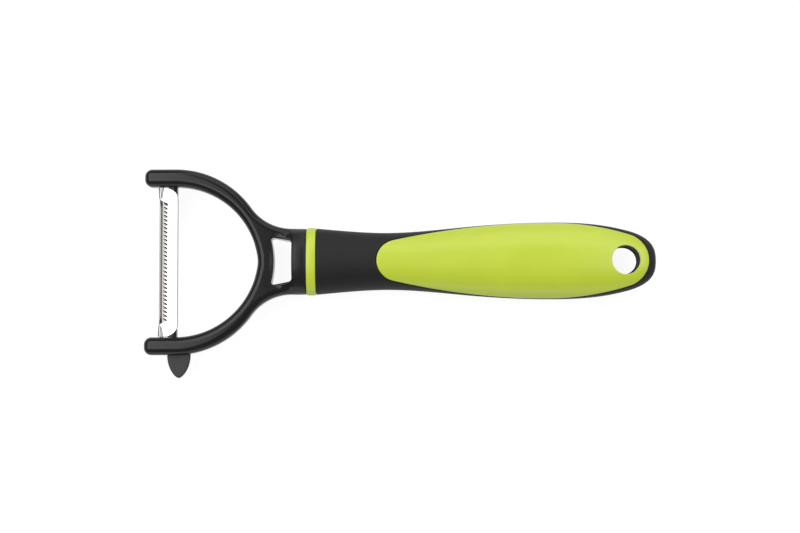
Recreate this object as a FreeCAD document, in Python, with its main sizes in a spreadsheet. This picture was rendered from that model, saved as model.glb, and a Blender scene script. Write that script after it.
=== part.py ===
"""Swivel-blade vegetable peeler with a wide yoke head and an oval two-colour grip.

The origin is the centre of the hanging hole, on the handle's mid-plane. +X runs from
the hole to the blade, +Y to the side of the eye remover, and +Z out of the face that
carries the coloured inlay. Lengths are in millimetres and angles in degrees.
"""
import FreeCAD, Part
import Sketcher
import math
import os

# Driving dimensions: name, value and what it measures.
SIZES = (
    ("hole_radius", 5.25, "hanging hole, radius"),
    ("nose_reach", 11.5, "hole centre to the end of the tail"),
    ("grip_length", 111.9, "hole centre to the front of the grip"),
    ("front_half_width", 12.1, "grip at its front, half width"),
    ("front_half_thickness", 7.4, "grip at its front, half thickness"),
    ("flare_half_width", 11.0, "grip halfway from front to waist, half width"),
    ("flare_half_thickness", 7.25, "grip halfway from front to waist, half thickness"),
    ("waist_setback", 24.9, "grip front to the waist"),
    ("waist_half_width", 10.4, "waist, half width"),
    ("waist_half_thickness", 7.3, "waist, half thickness"),
    ("shoulder_half_width", 12.5, "halfway from waist to swell, half width"),
    ("shoulder_half_thickness", 8.4, "halfway from waist to swell, half thickness"),
    ("swell_place", 27.0, "hole centre to the widest section"),
    ("swell_half_width", 14.0, "widest section, half width"),
    ("swell_half_thickness", 9.2, "widest section, half thickness"),
    ("tail_place", 1.4, "hole centre to where the tail starts to round"),
    ("tail_half_width", 11.65, "tail before it rounds, half width"),
    ("tail_half_thickness", 6.8, "tail before it rounds, half thickness"),
    ("tip_half_width", 8.6, "half width the taper would have at the tail's end"),
    ("tip_half_thickness", 5.0, "half thickness the taper would have at the tail's end"),
    ("sleeve_wall", 2.4, "soft sleeve, wall"),
    ("inlay_thickness", 1.4, "inlay panel, thickness"),
    ("inlay_rim", 0.4, "black rim left outside the inlay at the widest section"),
    ("inlay_edge_height", 1.0, "inlay's lower edge above the mid-plane"),
    ("inlay_front_setback", 22.0, "grip front to the inlay's front end"),
    ("inlay_front_radius", 8.2, "inlay's front end, radius"),
    ("inlay_rear_setback", 3.7, "tail's end to the inlay's rear end"),
    ("inlay_rear_radius", 9.6, "inlay's rear end, radius"),
    ("ring_width", 3.6, "collar ring, width along the handle"),
    ("ring_wall", 2.6, "collar ring, wall inside the grip's outline"),
    ("ring_proud", 0.2, "collar ring above the grip's outline"),
    ("tang_width", 12.0, "tang inside the handle, width"),
    ("tang_thickness", 5.0, "tang inside the handle, thickness"),
    ("tang_length", 42.0, "tang inside the handle, length"),
    ("seat_clearance", 0.05, "clearance each side of a seated piece"),
    ("socket_room", 1.0, "room beyond the end of the tang"),
    ("neck_half_width", 12.0, "neck at the ring, half width"),
    ("neck_half_thickness", 7.2, "neck at the ring, half thickness"),
    ("neck_length", 5.3, "ring to where the neck starts to flare"),
    ("neck_fillet", 18.0, "flare between neck and bow, radius"),
    ("neck_root_half_width", 8.0, "flat of the yoke where it leaves the ring, half width"),
    ("neck_rise", 0.6, "neck above the flat of the yoke, at the window's front"),
    ("jaw_half_gap", 27.3, "half the gap between the arms"),
    ("arm_width", 6.5, "arm, width"),
    ("arm_half_thickness", 4.0, "arm, half thickness"),
    ("arm_straight", 11.2, "straight end of each arm"),
    ("arm_tip_radius", 2.6, "corners of the arm tips, radius"),
    ("arm_edge_radius", 2.1, "rounded edges of arms and bow, radius"),
    ("bow_wall", 5.9, "bow between window and jaw"),
    ("bow_nose_radius", 12.0, "inside of the bow on the middle line, radius"),
    ("window_setback", 5.6, "ring to the window"),
    ("window_length", 6.1, "window along the middle line"),
    ("window_rear_half_width", 7.3, "window at the ring's side, half width"),
    ("window_front_half_width", 8.5, "window at the bow's side, half width"),
    ("window_front_radius", 33.0, "window's curved side, radius"),
    ("window_corner_radius", 1.2, "window corners, radius"),
    ("pivot_setback", 6.1, "arm tip to the blade's pivot axis"),
    ("pin_radius", 0.6, "pivot pin, radius"),
    ("pin_seat_depth", 4.0, "pivot pin inside the arm"),
    ("running_clearance", 0.05, "pin to blade eye, radial clearance"),
    ("blade_side_clearance", 0.25, "blade end to arm"),
    ("sheet_thickness", 0.5, "blade sheet, thickness"),
    ("rear_wing", 5.7, "blade's rear wing, from the pivot axis"),
    ("front_wing", 5.0, "blade's front wing, from the pivot axis"),
    ("wing_corner_radius", 4.5, "corners of the blade's wings, radius"),
    ("eye_length", 3.2, "rolled eye at each end of the blade"),
    ("slot_length", 45.7, "cutting slot, length"),
    ("slot_front", 0.1, "pivot axis to the slot's plain edge"),
    ("tooth_tip_setback", 0.8, "pivot axis to the tooth tips"),
    ("tooth_depth", 1.1, "tooth, depth"),
    ("tooth_pitch", 1.45, "tooth pitch"),
    ("tooth_gap", 0.95, "mouth of the gap between two teeth"),
    ("tooth_rake", 0.55, "slant of a tooth gap along the blade"),
    ("lug_reach", 3.1, "stop lug, length from the arm"),
    ("lug_setback", 2.3, "pivot axis to the stop lug"),
    ("lug_width", 3.2, "stop lug, width along the arm"),
    ("lug_depth", 3.0, "stop lug's lower side below the pivot axis"),
    ("lug_clearance", 0.12, "stop lug to the blade at rest"),
    ("remover_setback", 12.2, "arm tip to the middle of the eye remover"),
    ("remover_reach", 8.3, "eye remover beyond the arm"),
    ("remover_half_width", 4.2, "eye remover at the arm, half width"),
    ("remover_tip_radius", 1.0, "eye remover's tip, radius"),
    ("remover_thickness", 2.0, "eye remover, thickness"),
    ("remover_root", 3.0, "eye remover inside the arm"),
)

# Places that several pieces share, as expressions of the driving dimensions.
RING_FRONT = "(sizes.grip_length + sizes.ring_width)"
WAIST_PLACE = "(sizes.grip_length - sizes.waist_setback)"
OUTER_RADIUS = "(sizes.jaw_half_gap + sizes.arm_width)"
FLARE_PLACE = f"({RING_FRONT} + sizes.neck_length)"
FLARE_HEIGHT = "(sizes.neck_half_width + sizes.neck_fillet)"
BEND_PLACE = f"({FLARE_PLACE} + sqrt(({OUTER_RADIUS} + sizes.neck_fillet)^2 - {FLARE_HEIGHT}^2))"
TIP_PLACE = f"({BEND_PLACE} + sizes.arm_straight)"
PIVOT_PLACE = f"({TIP_PLACE} - sizes.pivot_setback)"
WINDOW_REAR = f"({RING_FRONT} + sizes.window_setback)"
WINDOW_FRONT = f"({WINDOW_REAR} + sizes.window_length)"
BOW_APEX = f"({WINDOW_FRONT} + sizes.bow_wall)"
BEND_INNER = "(sizes.pin_radius + sizes.running_clearance)"
BEND_OUTER = f"({BEND_INNER} + sizes.sheet_thickness)"
BLADE_HALF_LENGTH = "(sizes.jaw_half_gap - sizes.blade_side_clearance)"
PIN_OUTER_END = "(sizes.jaw_half_gap + sizes.pin_seat_depth)"
RIGHT_THROUGH = "4 * sizes.swell_half_thickness"

# A rounding takes at most this share of the wall that limits it.
ROUNDING_RATIO = 0.9
TIP_RADIUS = f"min(sizes.arm_tip_radius; {ROUNDING_RATIO} * sizes.arm_width / 2)"
EDGE_RADIUS = f"min(sizes.arm_edge_radius; {ROUNDING_RATIO} * min({TIP_RADIUS}; sizes.arm_half_thickness))"
WING_RADIUS = f"min(sizes.wing_corner_radius; {ROUNDING_RATIO} * min(sizes.rear_wing; sizes.front_wing))"

# The tail rounds off along a superellipse, met at these angles.
NOSE_ANGLES = (25, 55, 75)
NOSE_POWER = 3

# Turns X to Y, Y to Z and Z to X, so that a flat oval stands across the handle.
ACROSS = FreeCAD.Rotation(FreeCAD.Vector(1, 1, 1), 120)
# Turns Z to Y, for pins that lie along the pivot axis.
ALONG_Y = FreeCAD.Rotation(FreeCAD.Vector(1, 0, 0), -90)

# How a sketch numbers the spots of a line or an arc, its own horizontal axis and its origin.
START, END, CENTRE = range(1, 4)
X_AXIS_INDEX = -1
ORIGIN = (X_AXIS_INDEX, START)
TOLERANCE = 1e-5


def make_sheet(doc):
    """Put the driving dimensions in a spreadsheet, one aliased cell each."""
    sheet = doc.addObject("Spreadsheet::Sheet", "sizes")
    for row, (alias, value, meaning) in enumerate(SIZES, start=1):
        sheet.set(f"A{row}", meaning)
        sheet.set(f"B{row}", str(value))
        sheet.setAlias(f"B{row}", alias)
    doc.recompute()
    return sheet


def value_of(obj, expression):
    """The number that an expression gives now."""
    return float(obj.evalExpression(expression))


def bind(obj, expressions):
    """Tie properties of an object to expressions of the sheet."""
    for prop, expression in expressions.items():
        obj.setExpression(prop, expression)


def origin_plane(body, role):
    """A body's own origin plane, found by its role."""
    return next(f for f in body.Origin.OriginFeatures if f.Role == role)


def new_body(doc, name):
    """An empty body."""
    return doc.addObject("PartDesign::Body", name)


def new_sketch(body, name, role, offset=None):
    """A sketch on one of the body's origin planes, lifted along its normal by an expression."""
    sketch = body.newObject("Sketcher::SketchObject", name)
    sketch.AttachmentSupport = [(origin_plane(body, role), "")]
    sketch.MapMode = "FlatFace"
    if offset:
        bind(sketch, {"AttachmentOffset.Base.z": offset})
    return sketch


def line(sketch, start, end):
    """Draw a line and return its number."""
    return sketch.addGeometry(Part.LineSegment(FreeCAD.Vector(*start), FreeCAD.Vector(*end)))


def arc(sketch, centre, start, end):
    """Draw an arc anticlockwise about a centre between two points and return its number."""
    middle = FreeCAD.Vector(*centre)
    spokes = (FreeCAD.Vector(*start) - middle, FreeCAD.Vector(*end) - middle)
    angles = [math.atan2(spoke.y, spoke.x) for spoke in spokes]
    circle = Part.Circle(middle, FreeCAD.Vector(0, 0, 1), spokes[0].Length)
    return sketch.addGeometry(Part.ArcOfCircle(circle, *angles))


def tie(sketch, kind, *where):
    """Add a constraint that has no size."""
    sketch.addConstraint(Sketcher.Constraint(kind, *where))


def dimension(sketch, kind, where, expression):
    """Add a constraint whose size follows an expression."""
    index = sketch.addConstraint(Sketcher.Constraint(kind, *where, value_of(sketch, expression)))
    sketch.setExpression(f"Constraints[{index}]", expression)


def pad(body, sketch, name, length, both_ways=False):
    """Pad a sketch by a length, to one side or evenly to both."""
    feature = body.newObject("PartDesign::Pad", name)
    feature.Profile = sketch
    feature.SideType = "Symmetric" if both_ways else "One side"
    bind(feature, {"Length": length})
    return feature


def pocket_upwards(body, sketch, name, depth):
    """Cut a sketch's outline out of what lies above it."""
    feature = body.newObject("PartDesign::Pocket", name)
    feature.Profile = sketch
    feature.Reversed = True
    bind(feature, {"Length": depth})
    return feature


def mirror(body, feature, name):
    """Repeat a feature on the other side of the middle plane."""
    copy = body.newObject("PartDesign::Mirrored", name)
    copy.Originals = [feature]
    copy.MirrorPlane = (origin_plane(body, "XZ_Plane"), [""])
    body.Tip = copy
    return copy


def round_edges(body, base, name, radius, wanted):
    """Fillet the edges of a feature that a test picks."""
    body.Document.recompute()
    edges = [f"Edge{i}" for i, edge in enumerate(base.Shape.Edges, start=1) if wanted(edge)]
    feature = body.newObject("PartDesign::Fillet", name)
    feature.Base = (base, edges)
    bind(feature, {"Radius": radius})
    body.Tip = feature
    return feature


def cut(doc, name, base, *tools):
    """Take tools away from a base, one after the other."""
    for number, tool in enumerate(tools, start=1):
        step = doc.addObject("Part::Cut", name if number == len(tools) else f"{name}_step_{number}")
        step.Base = base
        step.Tool = tool
        base = step
    return base


def fuse(doc, name, *shapes):
    """Join shapes into one."""
    joined = doc.addObject("Part::MultiFuse", name)
    joined.Shapes = list(shapes)
    joined.Refine = True
    return joined


def common(doc, name, base, tool):
    """Keep what two shapes share."""
    shared = doc.addObject("Part::Common", name)
    shared.Base = base
    shared.Tool = tool
    return shared


def cylinder(doc, name, radius, height, place, rotation):
    """A round bar that starts at a place."""
    bar = doc.addObject("Part::Cylinder", name)
    bar.Placement = FreeCAD.Placement(FreeCAD.Vector(), rotation)
    bind(bar, {"Radius": radius, "Height": height})
    bind(bar, {f"Placement.Base.{axis}": at for axis, at in zip("xyz", place)})
    return bar


def block(doc, name, size, place):
    """A box with its low corner at a place."""
    box = doc.addObject("Part::Box", name)
    bind(box, dict(zip(("Length", "Width", "Height"), size)))
    bind(box, {f"Placement.Base.{axis}": at for axis, at in zip("xyz", place)})
    return box


def oval(doc, name, place, half_width, half_thickness):
    """An oval section across the handle."""
    section = doc.addObject("Part::Ellipse", name)
    section.Placement = FreeCAD.Placement(FreeCAD.Vector(), ACROSS)
    bind(section, {"MajorRadius": half_width, "MinorRadius": half_thickness, "Placement.Base.x": place})
    return section


def loft(doc, name, sections):
    """A smooth solid through sections."""
    solid = doc.addObject("Part::Loft", name)
    solid.Sections = sections
    solid.Solid = True
    solid.MaxDegree = 3
    return solid


def oval_bar(doc, name, stations):
    """A solid through oval sections, each a place, a half width and a half thickness."""
    return loft(doc, name, [oval(doc, f"{name}_oval", *station) for station in stations])


def grip_form(doc, name, inset):
    """The handle's rounded form, drawn in by an inset all round and at the tail."""
    stations = [
        ("sizes.grip_length", "front"),
        (f"(sizes.grip_length + {WAIST_PLACE}) / 2", "flare"),
        (WAIST_PLACE, "waist"),
        (f"({WAIST_PLACE} + sizes.swell_place) / 2", "shoulder"),
        ("sizes.swell_place", "swell"),
        ("sizes.tail_place", "tail"),
    ]
    sections = []
    for place, part in stations:
        width = f"sizes.{part}_half_width - {inset}"
        thickness = f"sizes.{part}_half_thickness - {inset}"
        sections.append(oval(doc, f"{name}_{part}", place, width, thickness))
    for angle in NOSE_ANGLES:
        along = math.sin(math.radians(angle)) ** (2 / NOSE_POWER)
        across = math.cos(math.radians(angle)) ** (2 / NOSE_POWER)
        place = f"sizes.tail_place - {along} * (sizes.tail_place + sizes.nose_reach - {inset})"
        width, thickness = (
            f"{across} * ({1 - along} * sizes.tail_{side} + {along} * sizes.tip_{side} - {inset})"
            for side in ("half_width", "half_thickness")
        )
        sections.append(oval(doc, f"{name}_nose", place, width, thickness))
    end = doc.addObject("Part::Vertex", f"{name}_end")
    bind(end, {"X": f"{inset} - sizes.nose_reach"})
    return loft(doc, name, sections + [end])


def inlay_plan(doc):
    """A prism over the inlay's outline: two rounded ends joined by four long arcs."""
    body = new_body(doc, "inlay_plan")
    sketch = new_sketch(body, "inlay_outline", "XY_Plane", "sizes.inlay_edge_height")
    half_width = "(sizes.swell_half_width - sizes.inlay_rim)"
    ends = {
        1: ("(sizes.grip_length - sizes.inlay_front_setback)", "sizes.inlay_front_radius"),
        -1: ("(sizes.inlay_rear_setback - sizes.nose_reach)", "sizes.inlay_rear_radius"),
    }
    widest = value_of(sketch, "sizes.swell_place")
    half = value_of(sketch, half_width)
    noses, flanks = {}, {}
    for way, (apex, end_radius) in ends.items():
        radius = value_of(sketch, end_radius)
        nose_x = value_of(sketch, apex) - way * radius
        run = nose_x - widest
        flank_radius = (run ** 2 + half ** 2 - radius ** 2) / (2 * (half - radius))
        spoke = FreeCAD.Vector(run, flank_radius - half).normalize() * radius
        meet_x, meet_y = nose_x + spoke.x, spoke.y
        low, high = (meet_x, -meet_y), (meet_x, meet_y)
        nose = (low, high) if way > 0 else (high, low)
        noses[way] = arc(sketch, (nose_x, 0), *nose)
        upper = ((meet_x, meet_y), (widest, half))
        lower = ((widest, -half), (meet_x, -meet_y))
        if way < 0:
            upper, lower = upper[::-1], lower[::-1]
        flanks[way, 1] = arc(sketch, (widest, half - flank_radius), *upper)
        flanks[way, -1] = arc(sketch, (widest, flank_radius - half), *lower)
    for way, (apex, end_radius) in ends.items():
        front = way > 0
        nose_top, nose_bottom = (END, START) if front else (START, END)
        top_meet, bottom_meet = (START, END) if front else (END, START)
        tie(sketch, "Tangent", noses[way], nose_top, flanks[way, 1], top_meet)
        tie(sketch, "Tangent", noses[way], nose_bottom, flanks[way, -1], bottom_meet)
        tie(sketch, "PointOnObject", noses[way], CENTRE, X_AXIS_INDEX)
        dimension(sketch, "Radius", (noses[way],), end_radius)
        nose_centre = f"{apex} {'-' if front else '+'} {end_radius}"
        dimension(sketch, "DistanceX", (*ORIGIN, noses[way], CENTRE), nose_centre)
    for side in (1, -1):
        front_end, rear_end = (END, START) if side > 0 else (START, END)
        tie(sketch, "Tangent", flanks[1, side], front_end, flanks[-1, side], rear_end)
        dimension(sketch, "DistanceX", (*ORIGIN, flanks[1, side], front_end), "sizes.swell_place")
        dimension(sketch, "DistanceX", (*ORIGIN, flanks[1, side], CENTRE), "sizes.swell_place")
    dimension(sketch, "DistanceY", (*ORIGIN, flanks[1, 1], END), half_width)
    dimension(sketch, "DistanceY", (flanks[1, -1], START, *ORIGIN), half_width)
    pad(body, sketch, "inlay_prism", "2 * sizes.swell_half_thickness")
    return body


def handle_pieces(doc):
    """The hard core, the soft sleeve round it and the coloured inlay in the sleeve's upper face."""
    outside = grip_form(doc, "grip_outside", "0")
    bed = grip_form(doc, "inlay_bed", "sizes.inlay_thickness")
    inside = grip_form(doc, "core_form", "sizes.sleeve_wall")
    prism = inlay_plan(doc)
    hole = cylinder(doc, "hanging_hole", "sizes.hole_radius", RIGHT_THROUGH,
                    ("0", "0", f"-{RIGHT_THROUGH} / 2"), FreeCAD.Rotation())
    socket_size = (
        "sizes.tang_length + sizes.socket_room",
        "sizes.tang_width + 2 * sizes.seat_clearance",
        "sizes.tang_thickness + 2 * sizes.seat_clearance",
    )
    socket_place = (
        "sizes.grip_length - sizes.tang_length - sizes.socket_room",
        "-sizes.tang_width / 2 - sizes.seat_clearance",
        "-sizes.tang_thickness / 2 - sizes.seat_clearance",
    )
    socket = block(doc, "tang_socket", socket_size, socket_place)
    raised = common(doc, "raised_bed", bed, prism)
    core = cut(doc, "handle_core", fuse(doc, "core_with_bed", inside, raised), socket, hole)
    sleeve = cut(doc, "grip_sleeve", outside, inside, prism, hole)
    inlay = cut(doc, "grip_inlay", common(doc, "inlay_blank", outside, prism), bed, hole)
    return [core, sleeve, inlay]


def collar_ring(doc):
    """The coloured ring between the grip and the yoke."""
    rear, front = "sizes.grip_length", RING_FRONT
    outside = ("sizes.front_half_width + sizes.ring_proud", "sizes.front_half_thickness + sizes.ring_proud")
    bore = ("sizes.front_half_width - sizes.ring_wall", "sizes.front_half_thickness - sizes.ring_wall")
    outer = oval_bar(doc, "ring_outside", [(rear, *outside), (front, *outside)])
    inner = oval_bar(doc, "ring_bore", [(rear, *bore), (front, *bore)])
    return cut(doc, "collar_ring", outer, inner)


def arm_half_outline(sketch):
    """Draw one side of the flat yoke: neck, flare, outer arm, rounded tip, inner arm and bow."""
    neck_x = value_of(sketch, RING_FRONT)
    root = value_of(sketch, "sizes.neck_root_half_width")
    flare = FreeCAD.Vector(value_of(sketch, FLARE_PLACE), value_of(sketch, FLARE_HEIGHT))
    flare_radius = value_of(sketch, "sizes.neck_fillet")
    outer = value_of(sketch, OUTER_RADIUS)
    gap = value_of(sketch, "sizes.jaw_half_gap")
    bend = FreeCAD.Vector(value_of(sketch, BEND_PLACE), 0)
    tip_x = value_of(sketch, TIP_PLACE)
    corner = value_of(sketch, TIP_RADIUS)
    apex_x = value_of(sketch, BOW_APEX)
    nose_radius = value_of(sketch, "sizes.bow_nose_radius")

    to_flare = flare - FreeCAD.Vector(neck_x, root)
    slope = math.atan2(to_flare.y, to_flare.x) - math.asin(flare_radius / to_flare.Length)
    neck_end = flare + FreeCAD.Vector(math.sin(slope), -math.cos(slope)) * flare_radius
    flare_end = flare + (bend - flare).normalize() * flare_radius
    nose = FreeCAD.Vector(apex_x + nose_radius, 0)
    run = bend.x - nose.x
    flank_radius = (run ** 2 + gap ** 2 - nose_radius ** 2) / (2 * (gap - nose_radius))
    flank = FreeCAD.Vector(bend.x, gap - flank_radius)
    flank_end = nose + (nose - flank).normalize() * nose_radius
    inset = tip_x - corner

    root_line = line(sketch, (neck_x, 0), (neck_x, root))
    neck_line = line(sketch, (neck_x, root), neck_end)
    flare_arc = arc(sketch, flare, neck_end, flare_end)
    outer_arc = arc(sketch, bend, (bend.x, outer), flare_end)
    outer_line = line(sketch, (bend.x, outer), (inset, outer))
    outer_corner = arc(sketch, (inset, outer - corner), (tip_x, outer - corner), (inset, outer))
    tip_line = line(sketch, (tip_x, outer - corner), (tip_x, gap + corner))
    inner_corner = arc(sketch, (inset, gap + corner), (inset, gap), (tip_x, gap + corner))
    inner_line = line(sketch, (inset, gap), (bend.x, gap))
    flank_arc = arc(sketch, flank, (bend.x, gap), flank_end)
    nose_arc = arc(sketch, nose, flank_end, (apex_x, 0))
    middle_line = line(sketch, (apex_x, 0), (neck_x, 0))

    tie(sketch, "Coincident", root_line, END, neck_line, START)
    tie(sketch, "Tangent", neck_line, END, flare_arc, START)
    tie(sketch, "Tangent", flare_arc, END, outer_arc, END)
    tie(sketch, "Tangent", outer_arc, START, outer_line, START)
    tie(sketch, "Tangent", outer_line, END, outer_corner, END)
    tie(sketch, "Tangent", outer_corner, START, tip_line, START)
    tie(sketch, "Tangent", tip_line, END, inner_corner, END)
    tie(sketch, "Tangent", inner_corner, START, inner_line, START)
    tie(sketch, "Tangent", inner_line, END, flank_arc, START)
    tie(sketch, "Tangent", flank_arc, END, nose_arc, START)
    tie(sketch, "Coincident", nose_arc, END, middle_line, START)
    tie(sketch, "Coincident", middle_line, END, root_line, START)
    tie(sketch, "Vertical", root_line)
    tie(sketch, "Horizontal", outer_line)
    tie(sketch, "Vertical", tip_line)
    tie(sketch, "Equal", outer_corner, inner_corner)
    tie(sketch, "Vertical", flank_arc, CENTRE, outer_arc, CENTRE)
    tie(sketch, "PointOnObject", outer_arc, CENTRE, X_AXIS_INDEX)
    tie(sketch, "PointOnObject", nose_arc, CENTRE, X_AXIS_INDEX)
    tie(sketch, "PointOnObject", middle_line, START, X_AXIS_INDEX)
    tie(sketch, "PointOnObject", middle_line, END, X_AXIS_INDEX)
    dimension(sketch, "DistanceX", (*ORIGIN, root_line, START), RING_FRONT)
    dimension(sketch, "DistanceY", (root_line, START, root_line, END), "sizes.neck_root_half_width")
    dimension(sketch, "DistanceX", (*ORIGIN, flare_arc, CENTRE), FLARE_PLACE)
    dimension(sketch, "DistanceY", (*ORIGIN, flare_arc, CENTRE), FLARE_HEIGHT)
    dimension(sketch, "Radius", (flare_arc,), "sizes.neck_fillet")
    dimension(sketch, "Radius", (outer_arc,), OUTER_RADIUS)
    dimension(sketch, "DistanceX", (outer_arc, CENTRE, tip_line, START), "sizes.arm_straight")
    dimension(sketch, "Radius", (outer_corner,), TIP_RADIUS)
    dimension(sketch, "DistanceY", (*ORIGIN, inner_line, START), "sizes.jaw_half_gap")
    dimension(sketch, "DistanceX", (*ORIGIN, nose_arc, END), BOW_APEX)
    dimension(sketch, "Radius", (nose_arc,), "sizes.bow_nose_radius")


def yoke_arms(doc):
    """The flat horseshoe of the yoke, with rounded edges."""
    body = new_body(doc, "yoke_arms")
    sketch = new_sketch(body, "arm_outline", "XY_Plane")
    arm_half_outline(sketch)
    half = pad(body, sketch, "arm_half", "2 * sizes.arm_half_thickness", both_ways=True)
    whole = mirror(body, half, "arm_pair")
    level = value_of(sketch, "sizes.arm_half_thickness")
    neck_x = value_of(sketch, RING_FRONT)

    def on_outline(edge):
        box = edge.BoundBox
        flat = abs(box.ZMin - box.ZMax) < TOLERANCE and abs(abs(box.ZMin) - level) < TOLERANCE
        return flat and box.XMax > neck_x + TOLERANCE

    round_edges(body, whole, "arm_rounding", EDGE_RADIUS, on_outline)
    return body


def window_prism(doc):
    """A prism the shape of the window behind the bow."""
    body = new_body(doc, "window_prism")
    sketch = new_sketch(body, "window_outline", "XY_Plane")
    rear_x = value_of(sketch, WINDOW_REAR)
    rear_y = value_of(sketch, "sizes.window_rear_half_width")
    front_y = value_of(sketch, "sizes.window_front_half_width")
    radius = value_of(sketch, "sizes.window_front_radius")
    centre_x = value_of(sketch, WINDOW_FRONT) + radius
    front_x = centre_x - math.sqrt(radius ** 2 - front_y ** 2)

    rear_side = line(sketch, (rear_x, rear_y), (rear_x, -rear_y))
    low_side = line(sketch, (rear_x, -rear_y), (front_x, -front_y))
    front_side = arc(sketch, (centre_x, 0), (front_x, front_y), (front_x, -front_y))
    high_side = line(sketch, (front_x, front_y), (rear_x, rear_y))

    tie(sketch, "Coincident", rear_side, END, low_side, START)
    tie(sketch, "Coincident", low_side, END, front_side, END)
    tie(sketch, "Coincident", front_side, START, high_side, START)
    tie(sketch, "Coincident", high_side, END, rear_side, START)
    tie(sketch, "Vertical", rear_side)
    tie(sketch, "PointOnObject", front_side, CENTRE, X_AXIS_INDEX)
    dimension(sketch, "DistanceX", (*ORIGIN, rear_side, START), WINDOW_REAR)
    dimension(sketch, "DistanceY", (*ORIGIN, rear_side, START), "sizes.window_rear_half_width")
    dimension(sketch, "DistanceY", (rear_side, END, *ORIGIN), "sizes.window_rear_half_width")
    front_centre = f"{WINDOW_FRONT} + sizes.window_front_radius"
    dimension(sketch, "DistanceX", (*ORIGIN, front_side, CENTRE), front_centre)
    dimension(sketch, "Radius", (front_side,), "sizes.window_front_radius")
    dimension(sketch, "DistanceY", (*ORIGIN, front_side, START), "sizes.window_front_half_width")
    dimension(sketch, "DistanceY", (front_side, END, *ORIGIN), "sizes.window_front_half_width")
    prism = pad(body, sketch, "window_depth", RIGHT_THROUGH, both_ways=True)

    def upright(edge):
        return edge.BoundBox.ZLength > TOLERANCE

    round_edges(body, prism, "window_rounding", "sizes.window_corner_radius", upright)
    return body


def pivot_bar(doc, name, side, radius, inner, outer):
    """A bar on the pivot axis in one arm, between two distances from the middle plane."""
    start = inner if side > 0 else f"-{outer}"
    return cylinder(doc, name, radius, f"{outer} - {inner}", (PIVOT_PLACE, start, "0"), ALONG_Y)


def yoke(doc):
    """The head's frame: arms, neck, spigot and tang, with lugs, window and seats."""
    half_slope = "(sizes.neck_half_thickness + sizes.arm_half_thickness) / 2"
    neck = oval_bar(doc, "neck", [
        (RING_FRONT, "sizes.neck_half_width", "sizes.neck_half_thickness"),
        (FLARE_PLACE, "sizes.neck_half_width", f"{half_slope} + sizes.neck_rise"),
        (WINDOW_FRONT, "sizes.neck_half_width", "sizes.arm_half_thickness + sizes.neck_rise"),
        (f"{BOW_APEX} - sizes.bow_wall / 2", "sizes.window_front_half_width",
         "sizes.arm_half_thickness - sizes.neck_rise"),
    ])
    spigot_size = tuple(
        f"sizes.front_{side} - sizes.ring_wall - sizes.seat_clearance"
        for side in ("half_width", "half_thickness")
    )
    spigot = oval_bar(doc, "spigot", [("sizes.grip_length", *spigot_size), (FLARE_PLACE, *spigot_size)])
    tang = block(
        doc, "tang",
        ("sizes.tang_length + sizes.ring_width", "sizes.tang_width", "sizes.tang_thickness"),
        ("sizes.grip_length - sizes.tang_length", "-sizes.tang_width / 2", "-sizes.tang_thickness / 2"),
    )
    lug_bite = "0.5 * sizes.arm_width"
    lug_top = f"({BEND_INNER} - sizes.lug_clearance)"
    lugs, seats = [], []
    for side, name in ((1, "left"), (-1, "right")):
        low_y = "sizes.jaw_half_gap - sizes.lug_reach" if side > 0 else f"-sizes.jaw_half_gap - {lug_bite}"
        lugs.append(block(
            doc, f"{name}_lug",
            ("sizes.lug_width", f"sizes.lug_reach + {lug_bite}", f"sizes.lug_depth + {lug_top}"),
            (f"{PIVOT_PLACE} - sizes.lug_setback - sizes.lug_width", low_y, "-sizes.lug_depth"),
        ))
        seats.append(pivot_bar(
            doc, f"{name}_pin_seat", side, "sizes.pin_radius",
            BLADE_HALF_LENGTH, PIN_OUTER_END,
        ))
    remover_slot = block(
        doc, "remover_slot",
        ("2 * (sizes.remover_half_width + sizes.seat_clearance)", "2 * sizes.remover_root",
         "sizes.remover_thickness + 2 * sizes.seat_clearance"),
        (f"{TIP_PLACE} - sizes.remover_setback - sizes.remover_half_width - sizes.seat_clearance",
         f"{OUTER_RADIUS} - sizes.remover_root", "-sizes.remover_thickness / 2 - sizes.seat_clearance"),
    )
    frame = fuse(doc, "yoke_blank", yoke_arms(doc), neck, spigot, tang, *lugs)
    return cut(doc, "yoke", frame, window_prism(doc), *seats, remover_slot)


def pivot_pins(doc):
    """The two steel pins on which the blade swings, each seated in an arm."""
    inner = f"({BLADE_HALF_LENGTH} - sizes.eye_length)"
    return [
        pivot_bar(doc, f"{name}_pivot_pin", side, "sizes.pin_radius", inner, PIN_OUTER_END)
        for side, name in ((1, "left"), (-1, "right"))
    ]


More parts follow.
